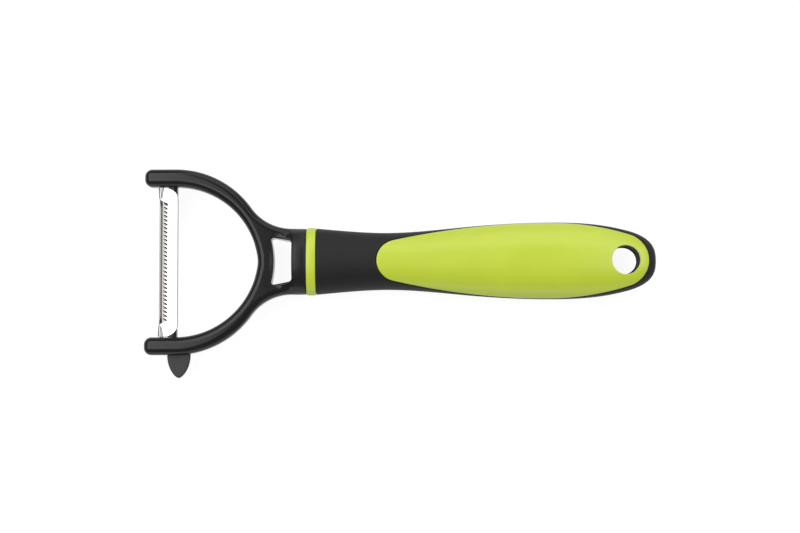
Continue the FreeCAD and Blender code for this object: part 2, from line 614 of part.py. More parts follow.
def bent_sheet(sketch):
    """Draw the blade's section: a flat rear wing, a bend round the pivot axis and a hanging front wing."""
    inner, outer = value_of(sketch, BEND_INNER), value_of(sketch, BEND_OUTER)
    rear, low = -value_of(sketch, "sizes.rear_wing"), -value_of(sketch, "sizes.front_wing")
    top = line(sketch, (rear, outer), (0, outer))
    outer_bend = arc(sketch, (0, 0), (outer, 0), (0, outer))
    front = line(sketch, (outer, 0), (outer, low))
    front_edge = line(sketch, (outer, low), (inner, low))
    back = line(sketch, (inner, low), (inner, 0))
    inner_bend = arc(sketch, (0, 0), (inner, 0), (0, inner))
    under = line(sketch, (0, inner), (rear, inner))
    rear_edge = line(sketch, (rear, inner), (rear, outer))
    tie(sketch, "Tangent", top, END, outer_bend, END)
    tie(sketch, "Tangent", outer_bend, START, front, START)
    tie(sketch, "Coincident", front, END, front_edge, START)
    tie(sketch, "Coincident", front_edge, END, back, START)
    tie(sketch, "Tangent", back, END, inner_bend, START)
    tie(sketch, "Tangent", inner_bend, END, under, START)
    tie(sketch, "Coincident", under, END, rear_edge, START)
    tie(sketch, "Coincident", rear_edge, END, top, START)
    tie(sketch, "Coincident", outer_bend, CENTRE, *ORIGIN)
    tie(sketch, "Coincident", inner_bend, CENTRE, *ORIGIN)
    for flat in (top, under, front_edge):
        tie(sketch, "Horizontal", flat)
    for upright in (front, back, rear_edge):
        tie(sketch, "Vertical", upright)
    dimension(sketch, "Radius", (outer_bend,), BEND_OUTER)
    dimension(sketch, "Radius", (inner_bend,), BEND_INNER)
    dimension(sketch, "DistanceX", (rear_edge, START, *ORIGIN), "sizes.rear_wing")
    dimension(sketch, "DistanceY", (front_edge, START, *ORIGIN), "sizes.front_wing")


def polygon(sketch, corners):
    """Draw a closed outline whose corners are pairs of expressions measured from the origin."""
    points = [tuple(value_of(sketch, at) for at in corner) for corner in corners]
    sides = [line(sketch, p, q) for p, q in zip(points, points[1:] + points[:1])]
    for side, following in zip(sides, sides[1:] + sides[:1]):
        tie(sketch, "Coincident", side, END, following, START)
    for side, corner in zip(sides, corners):
        for kind, at in zip(("DistanceX", "DistanceY"), corner):
            dimension(sketch, kind, (*ORIGIN, side, START), at)


def blade(doc):
    """The steel blade: a sheet bent over the pivot axis, rolled into eyes, slotted and toothed."""
    body = new_body(doc, "blade")
    bind(body, {"Placement.Base.x": PIVOT_PLACE})
    section = new_sketch(body, "blade_section", "XZ_Plane")
    bent_sheet(section)
    sheet = pad(body, section, "bent_sheet", f"2 * {BLADE_HALF_LENGTH}", both_ways=True)
    thickness = value_of(section, "sizes.sheet_thickness")
    half_length = value_of(section, BLADE_HALF_LENGTH)
    bend = value_of(section, BEND_OUTER)

    def wing_corner(edge):
        centre = edge.CenterOfMass
        at_end = abs(abs(centre.y) - half_length) < TOLERANCE and edge.BoundBox.YLength < TOLERANCE
        return at_end and abs(edge.Length - thickness) < TOLERANCE and max(-centre.x, -centre.z) > bend

    round_edges(body, sheet, "wing_corners", WING_RADIUS, wing_corner)

    ring = new_sketch(body, "eye_section", "XZ_Plane", f"sizes.eye_length - {BLADE_HALF_LENGTH}")
    for radius in (BEND_OUTER, BEND_INNER):
        circle = Part.Circle(FreeCAD.Vector(), FreeCAD.Vector(0, 0, 1), value_of(ring, radius))
        number = ring.addGeometry(circle)
        tie(ring, "Coincident", number, CENTRE, *ORIGIN)
        dimension(ring, "Radius", (number,), radius)
    eye = pad(body, ring, "left_eye", "sizes.eye_length")
    eye.Reversed = True
    mirror(body, eye, "right_eye")

    slot = new_sketch(body, "slot_outline", "XY_Plane")
    front, tips = "sizes.slot_front", "-sizes.tooth_tip_setback"
    half_slot = "sizes.slot_length / 2"
    polygon(slot, [(front, f"-{half_slot}"), (front, half_slot), (tips, half_slot), (tips, f"-{half_slot}")])
    pocket_upwards(body, slot, "cutting_slot", f"2 * {BEND_OUTER}")

    count = "floor(sizes.slot_length / sizes.tooth_pitch)"
    first = f"-({count} - 1) / 2 * sizes.tooth_pitch"
    notch = new_sketch(body, "tooth_gap_outline", "XY_Plane")
    mouth = "sizes.slot_front - sizes.tooth_tip_setback"
    root = f"{tips} - sizes.tooth_depth"
    polygon(notch, [
        (mouth, f"{first} - sizes.tooth_gap / 2"),
        (mouth, f"{first} + sizes.tooth_gap / 2"),
        (root, f"{first} + sizes.tooth_gap / 2 + sizes.tooth_rake / 2"),
        (root, f"{first} - sizes.tooth_gap / 2 + sizes.tooth_rake"),
    ])
    gap = pocket_upwards(body, notch, "tooth_gap_cut", f"2 * {BEND_OUTER}")
    teeth = body.newObject("PartDesign::LinearPattern", "teeth")
    teeth.Originals = [gap]
    teeth.Direction = (next(f for f in body.Origin.OriginFeatures if f.Role == "Y_Axis"), [""])
    teeth.Mode = "Spacing"
    bind(teeth, {"Offset": "sizes.tooth_pitch", "Occurrences": count})
    body.Tip = teeth
    return body


def eye_remover(doc):
    """The leaf-shaped tongue that digs out potato eyes, with its root seated in the left arm."""
    body = new_body(doc, "eye_remover")
    bind(body, {"Placement.Base.x": f"{TIP_PLACE} - sizes.remover_setback"})
    sketch = new_sketch(body, "remover_outline", "XY_Plane")
    half = value_of(sketch, "sizes.remover_half_width")
    radius = value_of(sketch, "sizes.remover_tip_radius")
    base = value_of(sketch, OUTER_RADIUS)
    low = base - value_of(sketch, "sizes.remover_root")
    run = value_of(sketch, "sizes.remover_reach") - radius
    side_radius = (run ** 2 + half ** 2 - radius ** 2) / (2 * (half - radius))
    spoke = FreeCAD.Vector(side_radius - half, run).normalize() * radius
    tip_y = base + run
    meet_x, meet_y = spoke.x, tip_y + spoke.y

    root_line = line(sketch, (-half, low), (half, low))
    right_root = line(sketch, (half, low), (half, base))
    right_side = arc(sketch, (half - side_radius, base), (half, base), (meet_x, meet_y))
    tip = arc(sketch, (0, tip_y), (meet_x, meet_y), (-meet_x, meet_y))
    left_side = arc(sketch, (side_radius - half, base), (-meet_x, meet_y), (-half, base))
    left_root = line(sketch, (-half, base), (-half, low))
    tie(sketch, "Coincident", root_line, END, right_root, START)
    tie(sketch, "Tangent", right_root, END, right_side, START)
    tie(sketch, "Tangent", right_side, END, tip, START)
    tie(sketch, "Tangent", tip, END, left_side, START)
    tie(sketch, "Tangent", left_side, END, left_root, START)
    tie(sketch, "Coincident", left_root, END, root_line, START)
    tie(sketch, "Horizontal", root_line)
    tie(sketch, "Vertical", right_root)
    tie(sketch, "Vertical", left_root)
    dimension(sketch, "DistanceX", (*ORIGIN, right_root, START), "sizes.remover_half_width")
    dimension(sketch, "DistanceX", (left_root, END, *ORIGIN), "sizes.remover_half_width")
    dimension(sketch, "DistanceY", (*ORIGIN, root_line, START), f"{OUTER_RADIUS} - sizes.remover_root")
    dimension(sketch, "DistanceY", (*ORIGIN, right_side, CENTRE), OUTER_RADIUS)
    dimension(sketch, "DistanceY", (*ORIGIN, left_side, CENTRE), OUTER_RADIUS)
    dimension(sketch, "Radius", (tip,), "sizes.remover_tip_radius")
    dimension(sketch, "DistanceY", (*ORIGIN, tip, CENTRE),
              f"{OUTER_RADIUS} + sizes.remover_reach - sizes.remover_tip_radius")
    pad(body, sketch, "remover_sheet", "sizes.remover_thickness", both_ways=True)
    return body


def check(doc, pieces):
    """Stop if any object failed or any piece isn't one valid solid."""
    failed = [o.Name for o in doc.Objects if {"Invalid", "Error"} & set(o.State)]
    if failed:
        raise RuntimeError(f"objects that failed: {failed}")
    for piece in pieces:
        shape = piece.Shape
        if shape.isNull() or not shape.isValid() or len(shape.Solids) != 1:
            raise RuntimeError(f"{piece.Label} isn't one valid solid")


def main():
    """Build the peeler and write each piece to its own file."""
    doc = FreeCAD.newDocument("peeler")
    make_sheet(doc)
    pieces = handle_pieces(doc) + [collar_ring(doc), yoke(doc), blade(doc)]
    pieces += pivot_pins(doc) + [eye_remover(doc)]
    doc.recompute()
    check(doc, pieces)
    os.makedirs("parts", exist_ok=True)
    for piece in pieces:
        piece.Shape.exportStep(f"parts/{piece.Label}.step")
        print(f"{piece.Label}: {piece.Shape.Volume:.1f} mm3")


main()
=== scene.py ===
"""A Y-shaped vegetable peeler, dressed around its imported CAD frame.

Sizes in the classes are millimetres, in the frame of the CAD model: X runs from the hanging hole to the
blade, Y to the side of the eye remover and Z out of the face with the lime inlay. Meshes are in metres.
"""

import logging
import math
from collections.abc import Callable, Sequence
from dataclasses import dataclass, field, replace
from enum import Enum

import bmesh
import bpy
import numpy as np
from mathutils import Matrix, Vector, geometry


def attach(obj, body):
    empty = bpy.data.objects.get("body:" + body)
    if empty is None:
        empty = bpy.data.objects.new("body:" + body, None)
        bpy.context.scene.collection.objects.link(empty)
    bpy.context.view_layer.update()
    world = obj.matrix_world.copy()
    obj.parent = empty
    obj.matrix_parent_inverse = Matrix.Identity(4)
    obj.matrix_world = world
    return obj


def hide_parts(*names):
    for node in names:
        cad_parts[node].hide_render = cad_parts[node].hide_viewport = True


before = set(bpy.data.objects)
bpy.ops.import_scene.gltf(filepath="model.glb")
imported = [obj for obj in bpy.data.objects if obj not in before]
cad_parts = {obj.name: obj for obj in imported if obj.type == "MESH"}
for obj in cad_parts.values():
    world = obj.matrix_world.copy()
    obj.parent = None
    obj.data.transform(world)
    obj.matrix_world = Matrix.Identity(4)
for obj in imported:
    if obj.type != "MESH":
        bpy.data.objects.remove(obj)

LOG = logging.getLogger("peeler")
MM = 0.001
WELD = 2e-7
CAD_WELD = 1e-6
CAD_CREASE = 30.0
GRID_ROW_SHARE = 0.87
RIM_CLEARANCE = 0.6
BAND_SOFTNESS = 0.25
FILL_INSIDE = 1
FILL_TOLERANCE = 1e-7
QUARTER = math.pi / 2
FULL_TURN = 2 * math.pi

Colour = tuple[float, float, float]
Placer = Callable[[np.ndarray, float, float, int], np.ndarray]


class Body(Enum):
    """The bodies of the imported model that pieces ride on."""

    HANDLE = "handle"
    BLADE = "swivel_blade"


class Side(Enum):
    """The two faces of a plate."""

    TOP = 1
    UNDER = -1


class MeshDraft:
    """Points in millimetres and faces, gathered before they become a mesh."""

    def __init__(self) -> None:
        """Start with no points and no faces."""
        self.points: list[np.ndarray] = []
        self.faces: list[tuple[int, ...]] = []

    def add(self, points: np.ndarray) -> list[int]:
        """Add points.

        Args:
            points: rows of X, Y and Z.

        Returns:
            The numbers of the new points.
        """
        first = len(self.points)
        self.points.extend(np.asarray(points, float).reshape(-1, 3))
        return list(range(first, len(self.points)))

    def bridge(self, first: Sequence[int], second: Sequence[int], closed: bool = True) -> None:
        """Join two rows of equally many points with four-sided faces.

        Args:
            first: numbers of the points in one row.
            second: numbers of the points in the other row.
            closed: whether the rows are loops.
        """
        count = len(first)
        for i in range(count if closed else count - 1):
            j = (i + 1) % count
            self.faces.append((first[i], first[j], second[j], second[i]))

    def chain(self, rows: Sequence[Sequence[int]], closed: bool = True) -> None:
        """Join each row with the next one.

        Args:
            rows: numbers of the points in each row, equally many in all.
            closed: whether the rows are loops.
        """
        for first, second in zip(rows, rows[1:]):
            self.bridge(first, second, closed)

    def loft(self, rows: Sequence[Sequence[int]], closed: bool = True) -> None:
        """Join each row with the next one and the last row with the first.

        Args:
            rows: numbers of the points in each row, equally many in all.
            closed: whether the rows are loops; open rows get a face at each end.
        """
        self.chain([*rows, rows[0]], closed)
        if not closed:
            self.faces += [tuple(row[0] for row in rows), tuple(row[-1] for row in rows[::-1])]

    def fan(self, ring: Sequence[int], middle: int) -> None:
        """Close a ring with triangles that meet in one point.

        Args:
            ring: numbers of the points in the ring.
            middle: number of the point where the triangles meet.
        """
        self.faces += [(a, b, middle) for a, b in zip(ring, [*ring[1:], ring[0]])]

    def join(self, other: "MeshDraft") -> None:
        """Add another draft's points and faces to this one.

        Args:
            other: the draft to add.
        """
        first = len(self.points)
        self.points += other.points
        self.faces += [tuple(number + first for number in face) for face in other.faces]

    def build(self, name: str, material: bpy.types.Material, crease: float = 38.0) -> bpy.types.Object:
        """Make the object, merged, facing outwards and smooth up to a crease angle.

        Args:
            name: the object's name.
            material: the finish of the whole piece.
            crease: the angle in degrees above which an edge stays sharp.

        Returns:
            The new object, at the origin.
        """
        mesh = bpy.data.meshes.new(name)
        mesh.from_pydata([tuple(point * MM) for point in self.points], [], self.faces)
        form = bmesh.new()
        form.from_mesh(mesh)
        bmesh.ops.remove_doubles(form, verts=form.verts, dist=WELD)
        bmesh.ops.dissolve_degenerate(form, edges=form.edges, dist=WELD)
        bmesh.ops.recalc_face_normals(form, faces=form.faces)
        form.to_mesh(mesh)
        form.free()
        return as_piece(name, mesh, material, crease)


def as_piece(
    name: str, mesh: bpy.types.Mesh, material: bpy.types.Material, crease: float
) -> bpy.types.Object:
    """Put a mesh in the scene as a smooth piece of one finish.

    Args:
        name: the object's name.
        mesh: the mesh, with its place in its points.
        material: the finish of the whole piece.
        crease: the angle in degrees above which an edge stays sharp.

    Returns:
        The new object, at the origin.
    """
    mesh.shade_smooth()
    mesh.set_sharp_from_angle(angle=math.radians(crease))
    mesh.materials.clear()
    mesh.materials.append(material)
    piece = bpy.data.objects.new(name, mesh)
    bpy.context.scene.collection.objects.link(piece)
    return piece


def smooth_copy(node: str, name: str, material: bpy.types.Material) -> bpy.types.Object:
    """Copy a CAD node's mesh, merge it and shade it smooth.

    Args:
        node: the CAD node's name.
        name: the new object's name.
        material: the finish of the piece.

    Returns:
        The new object, at the origin.
    """
    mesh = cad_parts[node].data.copy()
    form = bmesh.new()
    form.from_mesh(mesh)
    bmesh.ops.remove_doubles(form, verts=form.verts, dist=CAD_WELD)
    form.to_mesh(mesh)
    form.free()
    return as_piece(name, mesh, material, CAD_CREASE)


def hand_over(piece: bpy.types.Object, body: Body, slot: str, *nodes: str) -> None:
    """Let a piece ride on its body and stand for its CAD nodes.

    Args:
        piece: the finished piece.
        body: the body that it moves with.
        slot: the record's material slot; not used.
        nodes: the CAD nodes that it replaces.
    """
    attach(piece, body.value)
    if nodes:
        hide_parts(*nodes)
    LOG.info("%s: %d faces, on %s", piece.name, len(piece.data.polygons), body.value)


@dataclass(frozen=True)
class RoundedEdge:
    """A rounded edge, as rings that lead from a wall on to a face."""

    radius: float
    steps: int = 6

    def rings(self) -> list[tuple[float, float]]:
        """Return each ring's inset from the wall and its drop below the face."""
        angles = [QUARTER * step / self.steps for step in range(self.steps + 1)]
        return [(self.radius * (1 - math.cos(a)), self.radius * (1 - math.sin(a))) for a in angles]


@dataclass(frozen=True)
class SmoothLine:
    """A smooth curve through heights at set places, with a given slope at its start."""

    places: tuple[float, ...]
    heights: tuple[float, ...]
    first_slope: float

    def at(self, x: np.ndarray) -> np.ndarray:
        """Return the height at each place, held level beyond the ends.

        Args:
            x: the places.

        Returns:
            One height for each place.
        """
        places, heights = np.array(self.places), np.array(self.heights)
        steps, rises = np.diff(places), np.diff(heights)
        count = len(places)
        system, right = np.zeros((count, count)), np.zeros(count)
        system[0, 0], right[0] = 1, self.first_slope
        for i in range(1, count - 1):
            before, after = 1 / steps[i - 1], 1 / steps[i]
            system[i, i - 1:i + 2] = before, 2 * (before + after), after
            right[i] = 3 * (rises[i - 1] * before ** 2 + rises[i] * after ** 2)
        system[-1, -2:] = 1, 2
        right[-1] = 3 * rises[-1] / steps[-1]
        slopes = np.linalg.solve(system, right)
        x = np.clip(np.asarray(x, float), places[0], places[-1])
        i = np.clip(np.searchsorted(places, x, side="right") - 1, 0, count - 2)
        t = (x - places[i]) / steps[i]
        return (
            heights[i] * (1 + 2 * t) * (1 - t) ** 2 + heights[i + 1] * t ** 2 * (3 - 2 * t)
            + steps[i] * (slopes[i] * t * (1 - t) ** 2 - slopes[i + 1] * t ** 2 * (1 - t))
        )


def full_turn(count: int) -> np.ndarray:
    """Return even angles round a full turn."""
    return np.linspace(0, FULL_TURN, count, endpoint=False)


def circle_points(angles: np.ndarray) -> np.ndarray:
    """Return the points of a circle of radius 1 in the plan, at given angles."""
    return np.column_stack([np.cos(angles), np.sin(angles)])


def at_level(flat: np.ndarray, level: float) -> np.ndarray:
    """Return points of the plan, all at one height."""
    return np.column_stack([flat, np.full(len(flat), level)])


def arc_points(centre: Sequence[float], radius: float, start: float, end: float, step: float) -> np.ndarray:
    """Return points on an arc in the plan, without its last point.

    Args:
        centre: X and Y of the centre.
        radius: the radius.
        start: the first angle, in radians.
        end: the angle where the arc stops.
        step: about how far apart the points lie.

    Returns:
        Rows of X and Y.
    """
    count = max(2, round(abs(end - start) * radius / step))
    angles = np.linspace(start, end, count, endpoint=False)
    return np.column_stack([centre[0] + radius * np.cos(angles), centre[1] + radius * np.sin(angles)])


def line_points(start: Sequence[float], end: Sequence[float], step: float) -> np.ndarray:
    """Return points on a straight line in the plan, without its last point.

    Args:
        start: X and Y of the first point.
        end: X and Y of the point where the line stops.
        step: about how far apart the points lie.

    Returns:
        Rows of X and Y.
    """
    count = max(1, round(math.dist(start, end) / step))
    share = np.linspace(0, 1, count, endpoint=False)[:, None]
    return np.asarray(start) * (1 - share) + np.asarray(end) * share


def rounded_polygon(corners: Sequence[Sequence[float]], radius: float, step: float) -> np.ndarray:
    """Return a closed outline with straight sides and rounded corners.

    Args:
        corners: X and Y of each corner, anticlockwise.
        radius: the radius of the corners.
        step: about how far apart the points lie.

    Returns:
        Rows of X and Y.
    """
    corners = np.asarray(corners, float)
    rows, tangents = [], []
    for before, corner, after in zip(np.roll(corners, 1, 0), corners, np.roll(corners, -1, 0)):
        back, on = (before - corner), (after - corner)
        back, on = back / np.linalg.norm(back), on / np.linalg.norm(on)
        half = math.acos(np.clip(back @ on, -1, 1)) / 2
        middle = (back + on) / np.linalg.norm(back + on)
        centre = corner + middle * radius / math.sin(half)
        reach = radius / math.tan(half)
        start, end = corner + back * reach - centre, corner + on * reach - centre
        first, last = math.atan2(start[1], start[0]), math.atan2(end[1], end[0])
        last += FULL_TURN * (last < first)
        tangents.append((corner + back * reach, corner + on * reach))
        rows.append(arc_points(centre, radius, first, last, min(step, radius / 4)))
    joined = []
    for row, (_, leave), (arrive, _) in zip(rows, tangents, tangents[1:] + tangents[:1]):
        joined += [row, line_points(leave, arrive, step)]
    return np.vstack(joined)


def inward_normals(row: np.ndarray, closed: bool) -> np.ndarray:
    """Return the unit normals to the left of a row of points in the plan.

    Args:
        row: rows of X and Y, anticlockwise round the material.
        closed: whether the row is a loop.

    Returns:
        One normal for each point.
    """
    if closed:
        along = np.roll(row, -1, 0) - np.roll(row, 1, 0)
    else:
        along = np.gradient(row, axis=0)
    along /= np.linalg.norm(along, axis=1)[:, None]
    return np.column_stack([-along[:, 1], along[:, 0]])


def inside(points: np.ndarray, loop: np.ndarray) -> np.ndarray:
    """Return which points in the plan lie inside a closed loop.

    Args:
        points: rows of X and Y.
        loop: rows of X and Y, in order round the loop.

    Returns:
        One truth value for each point.
    """
    x, y = points[:, :1], points[:, 1:]
    x0, y0 = loop.T
    x1, y1 = np.roll(loop, -1, 0).T
    with np.errstate(divide="ignore", invalid="ignore"):
        crossed = ((y0 > y) != (y1 > y)) & (x < (x1 - x0) * (y - y0) / (y1 - y0) + x0)
    return crossed.sum(axis=1) % 2 == 1


def triangulate(loops: Sequence[np.ndarray], spacing: float) -> tuple[np.ndarray, list[tuple[int, ...]]]:
    """Fill the region inside the first loop and outside the others with even triangles.

    Args:
        loops: closed rows of X and Y, the outline first.
        spacing: about how far apart the inner points lie.

    Returns:
        The inner points, and triangles whose numbers count the loops' points first.
    """
    low, high = loops[0].min(0), loops[0].max(0)
    columns = np.arange(low[0], high[0], spacing)
    rows = np.arange(low[1], high[1], spacing * GRID_ROW_SHARE)
    grid = np.array([(x + spacing / 2 * (j % 2), y) for j, y in enumerate(rows) for x in columns])
    rims = np.vstack(loops)
    keep = inside(grid, loops[0])
    for hole in loops[1:]:
        keep &= ~inside(grid, hole)
    grid = grid[keep]
    near = [np.min(np.sum((rims - point) ** 2, axis=1)) for point in grid]
    grid = grid[np.array(near) > (RIM_CLEARANCE * spacing) ** 2] if len(grid) else grid.reshape(0, 2)
    edges, first = [], 0
    for loop in loops:
        numbers = list(range(first, first + len(loop)))
        edges += list(zip(numbers, numbers[1:] + numbers[:1]))
        first += len(loop)
    everything = np.vstack([rims, grid])
    _, _, faces, origins, _, _ = geometry.delaunay_2d_cdt(
        [Vector(point) for point in everything], edges, [], FILL_INSIDE, FILL_TOLERANCE
    )
    faces = [tuple(origins[number][0] for number in face) for face in faces]
    middles = np.array([everything[list(face)].mean(0) for face in faces])
    solid = inside(middles, loops[0])
    for hole in loops[1:]:
        solid &= ~inside(middles, hole)
    return grid, [face for face, kept in zip(faces, solid) if kept]


@dataclass
class Plate:
    """A flat or bent plate with rounded edges, drawn in the plan and put in place by a function.

    The function takes rows of X and Y, the drops of the outer edge and of a hole's edge, and the face.
    A hold above 0 adds one more ring, so that the shading of the rounded edge ends beside it.
    """

    outline: np.ndarray
    edge: RoundedEdge
    place: Placer
    holes: list[np.ndarray] = field(default_factory=list)
    hole_edge: RoundedEdge = RoundedEdge(0.5)
    spacing: float = 0.9
    open_end: np.ndarray | None = None
    hold: float = 0.0

    def draft(self) -> MeshDraft:
        """Build the plate, with an open end closed by a flat face.

        Returns:
            The closed plate as a draft.
        """
        draft = MeshDraft()
        upper_walls, upper_end = self._face(draft, Side.TOP)
        lower_walls, lower_end = self._face(draft, Side.UNDER)
        closed = self.open_end is None
        for number, (upper, lower) in enumerate(zip(upper_walls, lower_walls)):
            draft.bridge(upper, lower, closed or number > 0)
        if not closed:
            draft.bridge(upper_end, lower_end, False)
        return draft

    def _face(self, draft: MeshDraft, side: Side) -> tuple[list[list[int]], list[int]]:
        """Add one face of the plate with its rounded rims.

        Args:
            draft: the draft that it goes into.
            side: which face it is.

        Returns:
            The lowest ring of each rim, the outline's first, and the points along the open end.
        """
        closed = self.open_end is None
        rings, flat = self._rim(draft, self.outline, side, hole=False)
        walls, loops, numbers, end = [rings[0]], [flat], [*rings[-1]], []
        if not closed:
            middle = draft.add(self.place(self.open_end, 0.0, 0.0, side.value))
            loops = [np.vstack([flat, self.open_end])]
            numbers += middle
            end = [ring[-1] for ring in rings] + middle + [ring[0] for ring in rings[::-1]]
        for hole in self.holes:
            rings, flat = self._rim(draft, hole, side, hole=True)
            walls.append(rings[0])
            loops.append(flat)
            numbers += rings[-1]
        inner, faces = triangulate(loops, self.spacing)
        numbers += draft.add(self.place(inner, 0.0, 0.0, side.value))
        draft.faces += [tuple(numbers[corner] for corner in face) for face in faces]
        return walls, end

    def _rim(
        self, draft: MeshDraft, row: np.ndarray, side: Side, hole: bool
    ) -> tuple[list[list[int]], np.ndarray]:
        """Add the rounded rim along the outline or a hole.

        Args:
            draft: the draft that it goes into.
            row: rows of X and Y along the wall.
            side: which face the rim leads to.
            hole: whether the row goes round a hole.

        Returns:
            The rings from the wall to the face, and the last ring's places in the plan.
        """
        looped = hole or self.open_end is None
        edge = self.hole_edge if hole else self.edge
        normals = inward_normals(row, looped) * (-1 if hole else 1)
        held = [(edge.radius + self.hold, 0.0)] if self.hold else []
        rings = []
        for inset, drop in edge.rings() + held:
            drops = (0.0, drop) if hole else (drop, 0.0)
            flat = row + inset * normals
            rings.append(draft.add(self.place(flat, *drops, side.value)))
        draft.chain(rings, looped)
        return rings, flat


def rounded_block(low: Sequence[float], high: Sequence[float], radius: float) -> MeshDraft:
    """Return a block with rounded edges.

    Args:
        low: its lowest corner.
        high: its highest corner.
        radius: the radius of its edges.

    Returns:
        The block as a draft.
    """
    corner_radius, side_step, edge_steps, fill_spacing = radius * 1.05, 0.6, 4, 1.0
    outline = rounded_polygon(
        [(low[0], low[1]), (high[0], low[1]), (high[0], high[1]), (low[0], high[1])],
        corner_radius, side_step)

    def place(flat: np.ndarray, drop: float, _: float, side: int) -> np.ndarray:
        """Put a ring of the block at its height."""
        return at_level(flat, high[2] - drop if side > 0 else low[2] + drop)

    return Plate(outline, RoundedEdge(radius, edge_steps), place, spacing=fill_spacing).draft()


class Nodes:
    """A short way to add and link the nodes of one tree."""

    def __init__(self, tree: bpy.types.NodeTree) -> None:
        """Take the tree that the nodes go into."""
        self.tree = tree

    def add(self, kind: str, links: dict | None = None, **settings: object) -> bpy.types.Node:
        """Add a node.

        Args:
            kind: the node's type.
            links: for each input, by name or number, the output that feeds it or the value that it takes.
            settings: the node's own settings.

        Returns:
            The new node.
        """
        node = self.tree.nodes.new(kind)
        for name, value in settings.items():
            setattr(node, name, value)
        self.feed(node, links or {})
        return node

    def feed(self, node: bpy.types.Node, links: dict) -> None:
        """Feed the inputs of a node.

        Args:
            node: the node.
            links: for each input, by name or number, the output that feeds it or the value that it takes.
        """
        for socket, value in links.items():
            if isinstance(value, bpy.types.NodeSocket):
                self.tree.links.new(value, node.inputs[socket])
            else:
                node.inputs[socket].default_value = value


def new_group(
    kind: str, name: str, inputs: Sequence[tuple[str, str]], outputs: Sequence[tuple[str, str]]
) -> tuple[Nodes, bpy.types.Node, bpy.types.Node]:
    """Start a node group with named sockets.

    Args:
        kind: the type of tree.
        name: the group's name.
        inputs: each input's name and socket type.
        outputs: each output's name and socket type.

    Returns:
        The tree's nodes, the node with its inputs and the node with its outputs.
    """
    tree = bpy.data.node_groups.new(name, kind)
    for sockets, way in ((inputs, "INPUT"), (outputs, "OUTPUT")):
        for socket, socket_type in sockets:
            tree.interface.new_socket(socket, in_out=way, socket_type=socket_type)
    nodes = Nodes(tree)
    return nodes, nodes.add("NodeGroupInput"), nodes.add("NodeGroupOutput")


